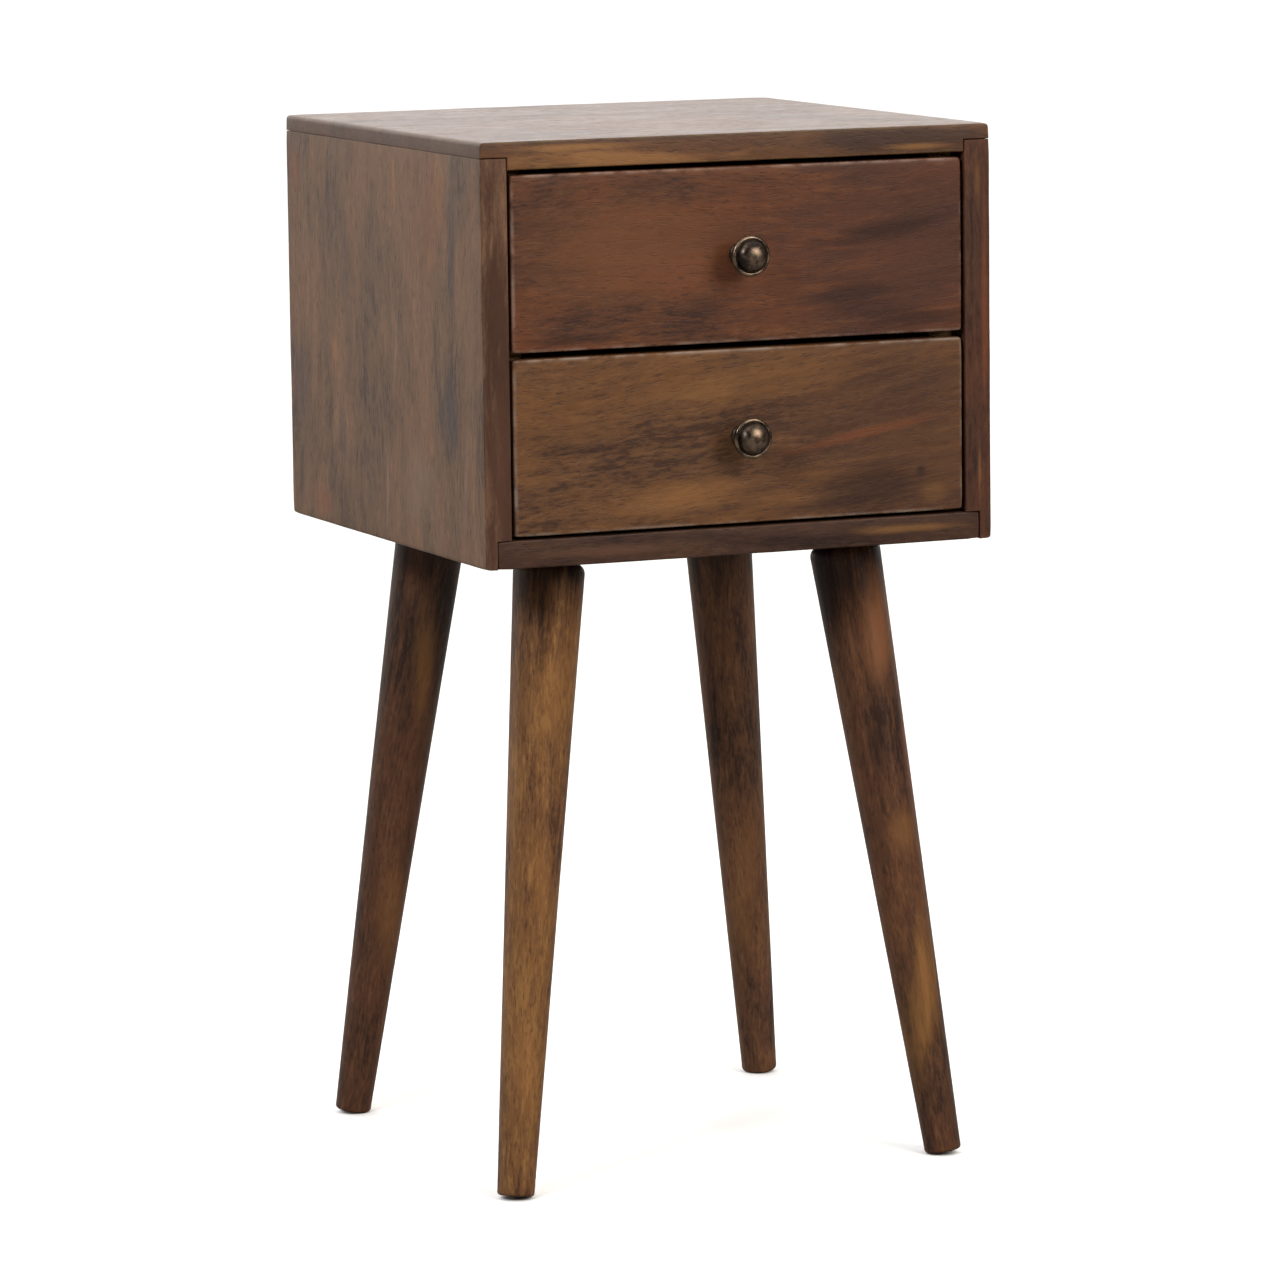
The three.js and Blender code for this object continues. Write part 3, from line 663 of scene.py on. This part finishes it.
def antique_brass():
    """Dark bronzed brass, its patina rubbed thin on what stands proud."""
    made, wires, shader = new_material("antique_brass")
    place = wires.node("ShaderNodeTexCoord").outputs["Object"]
    coarse = wires.speckle(place, (170.0, 170.0, 170.0), 4.0, 0.62)
    fine = wires.speckle(place, (900.0, 900.0, 900.0), 3.0, 0.6)
    rubbed = wires.node("ShaderNodeAttribute", attribute_name="rubbed").outputs["Fac"]
    uneven = wires.sum("MULTIPLY_ADD", wires.sum("SUBTRACT", coarse, 0.5), 0.9, rubbed)
    patina = wires.mix(wires.ease(coarse, 0.35, 0.65), screen("#2c2522"), screen("#473b33"))
    metal = wires.mix(wires.ease(uneven, 0.35, 0.95), patina, screen("#85725f"))
    metal = wires.mix(wires.sum("MULTIPLY", wires.ease(fine, 0.58, 0.7), 0.45), metal, screen("#2a231f"))
    dull = wires.sum("MULTIPLY_ADD", rubbed, -0.3, 0.42)
    rough = wires.sum("MULTIPLY_ADD", wires.ease(coarse, 0.3, 0.7), 0.14, dull)
    dents = wires.sum("MULTIPLY_ADD", fine, 0.25, coarse)
    bump = wires.node("ShaderNodeBump", {"Distance": 0.05 * MM, "Height": dents}).outputs[0]
    wires.feed_all(shader, {"Base Color": metal, "Metallic": 1.0, "Roughness": rough, "Normal": bump})
    return made


def zinc_plate():
    """Dull bright-zinc plating with faint cloudy tarnish and fine tool marks."""
    made, wires, shader = new_material("zinc_steel")
    place = wires.node("ShaderNodeTexCoord").outputs["Object"]
    cloudy = wires.speckle(place, (220.0, 220.0, 220.0), 3.0, 0.6)
    scored = wires.speckle(place, (2600.0, 2600.0, 900.0))
    colour = wires.mix(wires.ease(cloudy, 0.3, 0.7), screen("#8f8f88"), screen("#b9b7ae"))
    rough = wires.sum("MULTIPLY_ADD", cloudy, 0.3, 0.22)
    inputs = {"Strength": 0.5, "Distance": 0.04 * MM, "Height": scored}
    bump = wires.node("ShaderNodeBump", inputs).outputs[0]
    wires.feed_all(shader, {"Base Color": colour, "Metallic": 1.0, "Roughness": rough, "Normal": bump})
    return made


brass = antique_brass()
zinc = zinc_plate()


# ---------------------------------------------------------------- making pieces

WELD = 0.005 * MM
FLAT = math.radians(0.5)
SOFT_EDGE = math.radians(50)
ARRIS_ROW = 9 * MM
WEAR_REACH = 3 * MM
WEAR_LUMPS = 34


def settle(name, mesh, body, material, nodes, soft=SOFT_EDGE):
    """A finished piece: smooth across soft edges, riding its body in place of its CAD nodes."""
    mesh.materials.clear()
    mesh.materials.append(material)
    mesh.shade_smooth()
    mesh.set_sharp_from_angle(angle=soft)
    made = bpy.data.objects.new(name, mesh)
    bpy.context.scene.collection.objects.link(made)
    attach(made, body)
    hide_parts(*nodes)
    return made


def add_rows(shape, low, high, spacing):
    """Cuts the long faces across, so that an arris can be worn along its length."""
    for axis in range(3):
        rows = int((high[axis] - low[axis]) / spacing)
        for row in range(1, rows):
            level = Vector((0, 0, 0))
            level[axis] = low[axis] + (high[axis] - low[axis]) * row / rows
            across = Vector((0, 0, 0))
            across[axis] = 1
            whole = [*shape.verts, *shape.edges, *shape.faces]
            bmesh.ops.bisect_plane(shape, geom=whole, dist=WELD, plane_co=level, plane_no=across)


def wear_arrises(shape, low, high, depth, seed):
    """Pushes the outer edges and corners inwards a little, unevenly, as handling and sanding do."""
    for vertex in shape.verts:
        gaps = [min(vertex.co[axis] - low[axis], high[axis] - vertex.co[axis]) for axis in range(3)]
        order = sorted(range(3), key=lambda axis: gaps[axis])
        nearness = 1 - gaps[order[1]] / WEAR_REACH
        if nearness <= 0:
            continue
        corner = max(0.0, 1 - gaps[order[2]] / (2 * WEAR_REACH))
        lump = 0.5 + 0.5 * noise.noise(vertex.co * WEAR_LUMPS + Vector((seed, 0, 0)))
        push = depth * nearness * (lump + 0.9 * corner)
        for axis in order[: 3 if corner > 0 else 2]:
            inwards = 1 if vertex.co[axis] - low[axis] < high[axis] - vertex.co[axis] else -1
            vertex.co[axis] += inwards * push


def welded_copy(node):
    """A CAD node's own shape with its loose triangles joined and its flat faces made whole."""
    shape = bmesh.new()
    shape.from_mesh(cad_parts[node].data)
    bmesh.ops.remove_doubles(shape, verts=shape.verts, dist=WELD)
    bmesh.ops.dissolve_limit(shape, angle_limit=FLAT, verts=shape.verts, edges=shape.edges)
    return shape


def board(node, body, material, rounding=0.3, wear=0.0, seed=0.0):
    """A board from its CAD node, its square arrises rounded and its outer ones pushed in unevenly as by wear.
    """
    shape = welded_copy(node)
    low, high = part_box(node)
    square = [edge for edge in shape.edges if edge.is_manifold and edge.calc_face_angle() > SOFT_EDGE]
    sizes = dict(offset=rounding * MM, segments=2, profile=0.5)
    bmesh.ops.bevel(shape, geom=square, affect="EDGES", clamp_overlap=True, **sizes)
    bmesh.ops.remove_doubles(shape, verts=shape.verts, dist=WELD / 5)
    if wear:
        add_rows(shape, low, high, ARRIS_ROW)
        wear_arrises(shape, low, high, wear * MM, seed)
    mesh = bpy.data.meshes.new(node)
    shape.to_mesh(mesh)
    shape.free()
    made = settle(node + "_wood", mesh, body, material, [node])
    weighted = made.modifiers.new("even_faces", "WEIGHTED_NORMAL")
    weighted.keep_sharp = True
    return made


def lathe(name, outline, segments, axis_start, axis_end, attribute=None):
    """Turns (radius, height) points round a line. Attribute is a name and a rating for each point."""
    shape = bmesh.new()
    layer = shape.verts.layers.float.new(attribute[0]) if attribute else None
    rings = []
    for index, (radius, height) in enumerate(outline):
        count = 1 if radius < 1e-7 else segments
        angles = [2 * math.pi * step / segments for step in range(count)]
        places = [(radius * math.cos(angle), radius * math.sin(angle), height) for angle in angles]
        ring = [shape.verts.new(place) for place in places]
        if attribute:
            for vertex in ring:
                vertex[layer] = attribute[1][index]
        rings.append(ring)
    for lower, upper in zip(rings, rings[1:]):
        for step in range(segments):
            following = (step + 1) % segments
            corners = [lower[step % len(lower)], lower[following % len(lower)]]
            corners += [upper[following % len(upper)], upper[step % len(upper)]]
            shape.faces.new(list(dict.fromkeys(corners)))
    bmesh.ops.recalc_face_normals(shape, faces=shape.faces)
    turn = (axis_end - axis_start).to_track_quat("Z", "Y").to_matrix().to_4x4()
    bmesh.ops.transform(shape, matrix=Matrix.Translation(axis_start) @ turn, verts=shape.verts)
    mesh = bpy.data.meshes.new(name)
    shape.to_mesh(mesh)
    shape.free()
    return mesh


def arc(radius, centre, start, end, steps):
    """Points of (radius, height) on an arc, from one angle to another in degrees."""
    angles = [math.radians(start + (end - start) * step / steps) for step in range(steps + 1)]
    return [(centre[0] + radius * math.cos(angle), centre[1] + radius * math.sin(angle)) for angle in angles]


LEG_FOOT_EASE = 2.2 * MM
LEG_SHOULDER = 7 * MM
LEG_SEAT_RADIUS = 16 * MM
LEG_SEGMENTS = 96
LEG_SOFT_EDGE = math.radians(40)
LEG_ROW = 5 * MM
TURNING_UNEVENNESS = 0.16 * MM
TURNING_LUMPS = 45
FOOT_ZONE = 10 * MM
PLANED_AWAY = 3 * MM


def turned_leg(end, side):
    """A leg as it comes off the lathe, very slightly uneven, its seat planed level under the carcass."""
    node = f"{end}_{side}_leg"
    foot, head = leg_axis(end, side)
    along = (head - foot).normalized()
    rough = welded_copy(node)
    heights = [(vertex.co - foot).dot(along) for vertex in rough.verts]
    widths = [((vertex.co - foot) - along * height).length for vertex, height in zip(rough.verts, heights)]
    rough.free()
    foot_radius = max(width for width, height in zip(widths, heights) if height < FOOT_ZONE)
    top_radius, shoulder = max(zip(widths, heights))
    seat_top = max(heights) + PLANED_AWAY
    rows = int((shoulder - LEG_FOOT_EASE) / LEG_ROW)
    shaft = [
        (foot_radius + (top_radius - foot_radius) * share, LEG_FOOT_EASE + (shoulder - LEG_FOOT_EASE) * share)
        for share in ((row + 1) / (rows + 1) for row in range(rows))
    ]
    outline = [
        (0, 0),
        *arc(LEG_FOOT_EASE, (foot_radius - LEG_FOOT_EASE, LEG_FOOT_EASE), -90, 0, 6),
        *shaft,
        *arc(LEG_SHOULDER, (top_radius - LEG_SHOULDER, shoulder), 0, 90, 10),
        (LEG_SEAT_RADIUS, shoulder + LEG_SHOULDER),
        (LEG_SEAT_RADIUS, seat_top),
        (0, seat_top),
    ]
    mesh = lathe(node, outline, LEG_SEGMENTS, foot, head)
    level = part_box(node)[1].z
    shape = bmesh.new()
    shape.from_mesh(mesh)
    for vertex in shape.verts:
        centre = foot + along * (vertex.co - foot).dot(along)
        lump = 0.5 + 0.5 * noise.noise(vertex.co * TURNING_LUMPS)
        vertex.co += (centre - vertex.co) * (TURNING_UNEVENNESS * lump / top_radius)
    whole = [*shape.verts, *shape.edges, *shape.faces]
    plane = dict(plane_co=(0, 0, level), plane_no=(0, 0, 1), clear_outer=True)
    cut = bmesh.ops.bisect_plane(shape, geom=whole, dist=WELD, **plane)
    rim = [item for item in cut["geom_cut"] if isinstance(item, bmesh.types.BMEdge)]
    bmesh.ops.holes_fill(shape, edges=rim, sides=0)
    bmesh.ops.recalc_face_normals(shape, faces=shape.faces)
    shape.to_mesh(mesh)
    shape.free()
    stain = leg_stains[end, side]
    settle(node + "_turned", mesh, "carcass", stain, [node], soft=LEG_SOFT_EDGE)


KNOB_DOME_RADIUS = 10.3
KNOB_DOME_HEIGHT = 6.6
KNOB_RIM_HEIGHT = 17.0
KNOB_RIM_ROUND = 1.6
KNOB_DOME_STEPS = 14
KNOB_SEGMENTS = 72
KNOB_SOFT_EDGE = math.radians(60)


def knob(body):
    """A cast knob turned round the drawer front's middle: foot, neck, undercut rim and dome."""
    node = f"{body}_knob"
    low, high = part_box(node)
    back = Vector(((low.x + high.x) / 2, high.y, (low.z + high.z) / 2))
    length = (high.y - low.y) / MM
    rim = (high.x - low.x) / 2 / MM
    dome_base = length - KNOB_DOME_HEIGHT
    profile = [
        (0, 0, 0),
        (7.1, 0, 0),
        (7.5, 0.4, 0.1),
        (7.4, 1.1, 0.1),
        (6.6, 1.7, 0),
        (5.5, 2.4, 0),
        (4.9, 3.6, 0),
        (4.7, 6.0, 0),
        (4.8, 9.0, 0),
        (5.3, 11.6, 0),
        (6.6, 13.6, 0),
        (8.8, 14.9, 0),
        (rim - 2.0, 15.4, 0.15),
    ]
    for radius, height in arc(KNOB_RIM_ROUND, (rim - KNOB_RIM_ROUND, KNOB_RIM_HEIGHT), -75, 80, 9):
        profile.append((radius, height, 0.62))
    profile += [(10.9, 18.5, 0.5), (10.55, 18.25, 0.1), (KNOB_DOME_RADIUS, dome_base, 0.05)]
    for step in range(1, KNOB_DOME_STEPS):
        angle = math.radians(90 * step / KNOB_DOME_STEPS)
        rise = math.sin(angle)
        height = dome_base + KNOB_DOME_HEIGHT * rise
        profile.append((KNOB_DOME_RADIUS * math.cos(angle), height, 0.25 + 0.35 * rise))
    profile.append((0, length, 0.6))
    outline = [(radius * MM, height * MM) for radius, height, rubbed in profile]
    rating = ("rubbed", [rubbed for radius, height, rubbed in profile])
    mesh = lathe(node, outline, KNOB_SEGMENTS, back, back + Vector((0, -1, 0)), rating)
    settle(node + "_cast", mesh, body, brass, [node], soft=KNOB_SOFT_EDGE)


# ---------------------------------------------------------------- fastener trees

BACK_SCREW = {"Head Diameter": 6, "Dome Height": 1.9, "Countersink": 0.1, "Shank Diameter": 2.8, "Length": 16}
KNOB_SCREW = {"Head Diameter": 8, "Dome Height": 2.6, "Countersink": 0.1, "Shank Diameter": 4, "Length": 26}
GUIDE_SCREW = {"Head Diameter": 8, "Dome Height": 0.1, "Countersink": 2.6, "Shank Diameter": 4, "Length": 28}
LEG_BOLT = {"Across Flats": 13, "Head Height": 5.3, "Shank Diameter": 8, "Length": 55}
LEG_WASHER = {"Hole": 8.4, "Outer Diameter": 17, "Thickness": 1.6}


def fastener_tree(name, sizes):
    """A geometry tree that sets a fastener on each point; returns it, its wiring and its inputs."""
    tree = bpy.data.node_groups.new(name, "GeometryNodeTree")

    def socket(label, kind, way="INPUT"):
        return tree.interface.new_socket(name=label, in_out=way, socket_type="NodeSocket" + kind)

    socket("Geometry", "Geometry")
    for label, size in sizes.items():
        socket(label, "Float").default_value = size * MM
    socket("Seed", "Int").default_value = 7
    socket("Material", "Material")
    socket("Geometry", "Geometry", "OUTPUT")
    wires = Wiring(tree)
    return tree, wires, wires.node("NodeGroupInput").outputs


def seat_on_points(wires, given, fastener):
    """Turns the fastener to face the way each point says, spun at random, and makes the copies real."""

    def step(kind, inputs, **settings):
        return wires.node(kind, inputs, **settings).outputs[0]

    facing = step("GeometryNodeInputNamedAttribute", {"Name": "facing"}, data_type="FLOAT_VECTOR")
    aligned = step("FunctionNodeAlignRotationToVector", {"Vector": facing}, axis="Z")
    turns = {2: 0.0, 3: math.pi, "Seed": given["Seed"]}
    spin = wires.node("FunctionNodeRandomValue", turns, data_type="FLOAT")
    about = step("FunctionNodeAxisAngleToRotation", {"Axis": (0, 0, 1), "Angle": spin.outputs[1]})
    turned = step("FunctionNodeRotateRotation", {0: aligned, 1: about}, rotation_space="LOCAL")
    inputs = {"Points": given["Geometry"], "Instance": fastener, "Rotation": turned}
    real = step("GeometryNodeRealizeInstances", {0: step("GeometryNodeInstanceOnPoints", inputs)})
    whole = step("GeometryNodeMergeByDistance", {"Geometry": real, "Distance": WELD})
    painted = step("GeometryNodeSetMaterial", {"Geometry": whole, "Material": given["Material"]})
    wires.node("NodeGroupOutput", {"Geometry": painted})


def moved(wires, geometry, height, stretch=(1, 1, 1)):
    inputs = {"Geometry": geometry, "Translation": wires.joined(z=height), "Scale": stretch}
    return wires.node("GeometryNodeTransform", inputs).outputs[0]


def combined(wires, operation, *meshes):
    made = wires.node("GeometryNodeMeshBoolean", operation=operation, solver="EXACT")
    rest = meshes
    if operation == "DIFFERENCE":
        wires.feed(meshes[0], made.inputs["Mesh 1"])
        rest = meshes[1:]
    for mesh in rest:
        wires.feed(mesh, made.inputs["Mesh 2"])
    return made.outputs["Mesh"]


def rod(wires, diameter, depth, sides):
    inputs = {"Vertices": sides, "Radius": wires.sum("MULTIPLY", diameter, 0.5), "Depth": depth}
    return wires.node("GeometryNodeMeshCylinder", inputs).outputs["Mesh"]


def cone(wires, lower, upper, depth, sides):
    inputs = {"Vertices": sides, "Radius Bottom": lower, "Radius Top": upper, "Depth": depth}
    return wires.node("GeometryNodeMeshCone", inputs).outputs["Mesh"]


FASTENER_SOFT_EDGE = math.radians(35)
HEAD_SIDES = 28
SHANK_SIDES = 20
POINT_TIP = 0.2 * MM
LAP = 0.02 * MM
RECESS_ARM = 0.52
RECESS_BLADE = 0.12
BOLT_CHAMFER = 0.47


def make_screw_tree():
    """Cross-recess wood screws: a domed or flush head, a cone under it, a shank and a point."""
    tree, wires, given = fastener_tree("screws_on_seats", BACK_SCREW)

    def share(size, part):
        return wires.sum("MULTIPLY", size, part)

    head, dome_height, countersink = given["Head Diameter"], given["Dome Height"], given["Countersink"]
    length, shank_width = given["Length"], given["Shank Diameter"]
    half, shank_half = share(head, 0.5), share(shank_width, 0.5)
    sizes = {"Segments": HEAD_SIDES, "Rings": HEAD_SIDES // 2, "Radius": half}
    ball = wires.node("GeometryNodeMeshUVSphere", sizes).outputs["Mesh"]
    dome = moved(wires, ball, 0.0, wires.joined(1.0, 1.0, wires.sum("DIVIDE", dome_height, half)))
    above = moved(wires, rod(wires, share(head, 1.4), head, 8), wires.sum("MULTIPLY_ADD", head, 0.5, -LAP))
    dome = combined(wires, "INTERSECT", dome, above)
    under = cone(wires, shank_half, share(half, 0.998), countersink, HEAD_SIDES)
    under = moved(wires, under, share(countersink, -1.0))
    straight = wires.sum("SUBTRACT", length, shank_width)
    shank = moved(wires, rod(wires, share(shank_width, 0.96), straight, SHANK_SIDES), share(straight, -0.5))
    point = cone(wires, POINT_TIP, share(shank_half, 0.97), shank_width, SHANK_SIDES)
    point = moved(wires, point, share(length, -1.0))
    body = combined(wires, "UNION", dome, under, shank, point)
    arm, blade = share(head, RECESS_ARM), share(head, RECESS_BLADE)
    cutters = []
    for size in (wires.joined(arm, blade, half), wires.joined(blade, arm, half)):
        slot = wires.node("GeometryNodeMeshCube", {"Size": size}).outputs["Mesh"]
        cutters.append(moved(wires, slot, dome_height))
    seat_on_points(wires, given, combined(wires, "DIFFERENCE", body, *cutters))
    return tree


def make_bolt_tree():
    """Hexagon bolts with a chamfered head."""
    tree, wires, given = fastener_tree("bolts_on_seats", LEG_BOLT)
    flats, height, length = given["Across Flats"], given["Head Height"], given["Length"]
    across_corners = wires.sum("MULTIPLY", flats, 2 / math.sqrt(3))
    head = moved(wires, rod(wires, across_corners, height, 6), wires.sum("MULTIPLY", height, 0.5))
    face = wires.sum("MULTIPLY", flats, BOLT_CHAMFER)
    skirt = wires.sum("MULTIPLY_ADD", height, math.sqrt(3), face)
    head = combined(wires, "INTERSECT", head, cone(wires, skirt, face, height, 36))
    shank = rod(wires, given["Shank Diameter"], length, 24)
    shank = moved(wires, shank, wires.sum("MULTIPLY_ADD", length, -0.5, 1 * MM))
    seat_on_points(wires, given, combined(wires, "UNION", head, shank))
    return tree


def make_washer_tree():
    """Plain flat washers."""
    tree, wires, given = fastener_tree("washers_on_seats", LEG_WASHER)
    thickness = given["Thickness"]
    disc = rod(wires, given["Outer Diameter"], thickness, 40)
    hole = rod(wires, given["Hole"], wires.sum("MULTIPLY", thickness, 3.0), 32)
    ring = combined(wires, "DIFFERENCE", disc, hole)
    seat_on_points(wires, given, moved(wires, ring, wires.sum("MULTIPLY", thickness, 0.5)))
    return tree


# ---------------------------------------------------------------- carcass

board("top_panel", "carcass", top_stain, wear=0.45, seed=1)
board("bottom_panel", "carcass", bottom_stain, wear=0.45, seed=2)
board("left_side_panel", "carcass", left_side_stain, wear=0.3, seed=3)
board("right_side_panel", "carcass", right_side_stain, wear=0.3, seed=4)
board("back_panel", "carcass", back_ply, rounding=0.2)

for side in SIDES:
    for level in DRAWERS:
        board(f"{level}_{side}_bearer", "carcass", bare_along_y)
        board(f"{level}_{side}_stop", "carcass", bare_along_x)
    board(f"{side}_kicker", "carcass", bare_along_y)

for end in ENDS:
    for side in SIDES:
        turned_leg(end, side)


# ---------------------------------------------------------------- drawers

for level in DRAWERS:
    body = f"{level}_drawer"
    front_stain = lower_front_stain if level == "lower" else upper_front_stain
    board(f"{body}_front", body, front_stain, wear=0.45, seed=5 if level == "lower" else 6)
    for side in SIDES:
        board(f"{body}_{side}_side", body, bare_along_y)
    board(f"{body}_back", body, bare_along_x)
    board(f"{body}_bottom", body, drawer_ply, rounding=0.2)
    knob(body)


# ---------------------------------------------------------------- fasteners


def middle(node):
    low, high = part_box(node)
    return (low + high) / 2, low, high


def fasten(name, body, tree, sizes, seats, nodes):
    """Fasteners of one kind on one body. Each seat is where the head sits and the way it faces."""
    points = bpy.data.meshes.new(name)
    points.from_pydata([place for place, facing in seats], [], [])
    attribute = points.attributes.new("facing", "FLOAT_VECTOR", "POINT")
    for index, (place, facing) in enumerate(seats):
        attribute.data[index].vector = facing
    source = bpy.data.objects.new(name + "_seats", points)
    modifier = source.modifiers.new("fasteners", "NODES")
    modifier.node_group = tree
    identifiers = {
        item.name: item.identifier
        for item in tree.interface.items_tree
        if item.item_type == "SOCKET" and item.in_out == "INPUT"
    }
    modifier[identifiers["Material"]] = zinc
    for label, size in sizes.items():
        modifier[identifiers[label]] = size * MM
    bpy.context.scene.collection.objects.link(source)
    evaluated = source.evaluated_get(bpy.context.evaluated_depsgraph_get())
    mesh = bpy.data.meshes.new_from_object(evaluated)
    bpy.data.objects.remove(source)
    settle(name, mesh, body, zinc, nodes, soft=FASTENER_SOFT_EDGE)


screw_tree, bolt_tree, washer_tree = make_screw_tree(), make_bolt_tree(), make_washer_tree()

nodes = [f"back_panel_screw_{number}" for number in range(1, 7)]
seats = []
for node in nodes:
    centre, low, high = middle(node)
    seats.append(((centre.x, high.y - BACK_SCREW["Dome Height"] * MM, centre.z), (0, 1, 0)))
fasten("carcass_back_screws", "carcass", screw_tree, BACK_SCREW, seats, nodes)

nodes, seats = [], []
for side in SIDES:
    for guide in (f"lower_{side}_bearer", f"upper_{side}_bearer", f"{side}_kicker"):
        for number in (1, 2):
            node = f"{guide}_screw_{number}"
            centre, low, high = middle(node)
            inner, facing = (high.x, (1, 0, 0)) if side == "left" else (low.x, (-1, 0, 0))
            seats.append(((inner, centre.y, centre.z), facing))
            nodes.append(node)
fasten("carcass_guide_screws", "carcass", screw_tree, GUIDE_SCREW, seats, nodes)

legs = [f"{end}_{side}_leg" for end in ENDS for side in SIDES]
bolts, washers = [], []
for leg in legs:
    centre, low, high = middle(leg + "_bolt")
    bolts.append(((centre.x, centre.y, high.z - LEG_BOLT["Head Height"] * MM), (0, 0, 1)))
    centre, low, high = middle(leg + "_washer")
    washers.append(((centre.x, centre.y, low.z), (0, 0, 1)))
fasten("carcass_leg_bolts", "carcass", bolt_tree, LEG_BOLT, bolts, [leg + "_bolt" for leg in legs])
fasten("carcass_leg_washers", "carcass", washer_tree, LEG_WASHER, washers, [leg + "_washer" for leg in legs])

for level in DRAWERS:
    node = f"{level}_drawer_knob_screw"
    centre, low, high = middle(node)
    seats = [((centre.x, high.y - KNOB_SCREW["Dome Height"] * MM, centre.z), (0, 1, 0))]
    fasten(f"{level}_drawer_knob_fixing", f"{level}_drawer", screw_tree, KNOB_SCREW, seats, [node])


# ---------------------------------------------------------------- stage, light and camera

CAMERA_PLACE = Vector((-1.67018, -3.93442, 0.93086))
CAMERA_TOWARDS = Vector((0.38642, 0.91183, -0.13869))
CAMERA_ROLL = math.radians(0.743)
CAMERA_LENS = 184.62
FLOOR_REACH = 40.0


def add_floor():
    """A pale floor that throws back less light onto the object than it shows."""
    mesh = bpy.data.meshes.new("floor")
    corners = [(x * FLOOR_REACH, y * FLOOR_REACH, 0) for x, y in ((-1, -1), (1, -1), (1, 1), (-1, 1))]
    mesh.from_pydata(corners, [], [range(4)])
    floor = bpy.data.objects.new("floor", mesh)
    bpy.context.scene.collection.objects.link(floor)
    made, wires, shader = new_material("pale_floor")
    seen = wires.node("ShaderNodeLightPath").outputs["Is Camera Ray"]
    pale = wires.mix(seen, screen("#8f8d89"), screen("#f6f5f3"))
    wires.feed_all(shader, {"Base Color": pale, "Roughness": 0.9, "Specular IOR Level": 0.1})
    mesh.materials.append(made)


def add_light(name, place, aim, size, power, colour):
    data = bpy.data.lights.new(name, "AREA")
    data.shape = "RECTANGLE"
    data.size, data.size_y = size
    data.energy = power
    data.color = screen(colour)[:3]
    light = bpy.data.objects.new(name, data)
    light.location = place
    light.rotation_mode = "QUATERNION"
    light.rotation_quaternion = (Vector(aim) - Vector(place)).to_track_quat("-Z", "Y")
    bpy.context.scene.collection.objects.link(light)


def add_world():
    """A white studio, a little dimmer in front of the object than behind it."""
    world = bpy.data.worlds.new("studio")
    bpy.context.scene.world = world
    world.use_nodes = True
    world.node_tree.nodes.clear()
    wires = Wiring(world.node_tree)
    heading = wires.parts(wires.node("ShaderNodeTexCoord").outputs["Generated"])
    around = wires.ease(heading[1], -0.3, 0.95, 0.04, 2.15)
    overhead = wires.ease(heading[2], 0.45, 0.9, 0.0, 1.6)
    strength = wires.sum("MAXIMUM", around, overhead)
    background = wires.node("ShaderNodeBackground", {"Color": screen("#fdfcfa"), "Strength": strength})
    wires.node("ShaderNodeOutputWorld", {"Surface": background.outputs[0]})


def add_camera():
    data = bpy.data.cameras.new("camera")
    data.lens = CAMERA_LENS
    data.sensor_width = 36.0
    data.clip_end = 200.0
    camera = bpy.data.objects.new("camera", data)
    camera.location = CAMERA_PLACE
    camera.rotation_mode = "QUATERNION"
    look = CAMERA_TOWARDS.to_track_quat("-Z", "Y").to_matrix()
    camera.rotation_quaternion = (look @ Matrix.Rotation(-CAMERA_ROLL, 3, "Z")).to_quaternion()
    bpy.context.scene.collection.objects.link(camera)
    bpy.context.scene.camera = camera


add_floor()
add_world()
add_light("key", (1.35, -2.9, 1.95), (0.0, -0.1, 0.4), (1.7, 1.7), 92.0, "#fff8ef")
add_light("left_softbox", (-2.6, -1.7, 2.2), (0.0, 0.0, 0.45), (0.6, 0.6), 62.0, "#f4f8ff")
add_camera()
bpy.context.scene.view_settings.view_transform = "Standard"
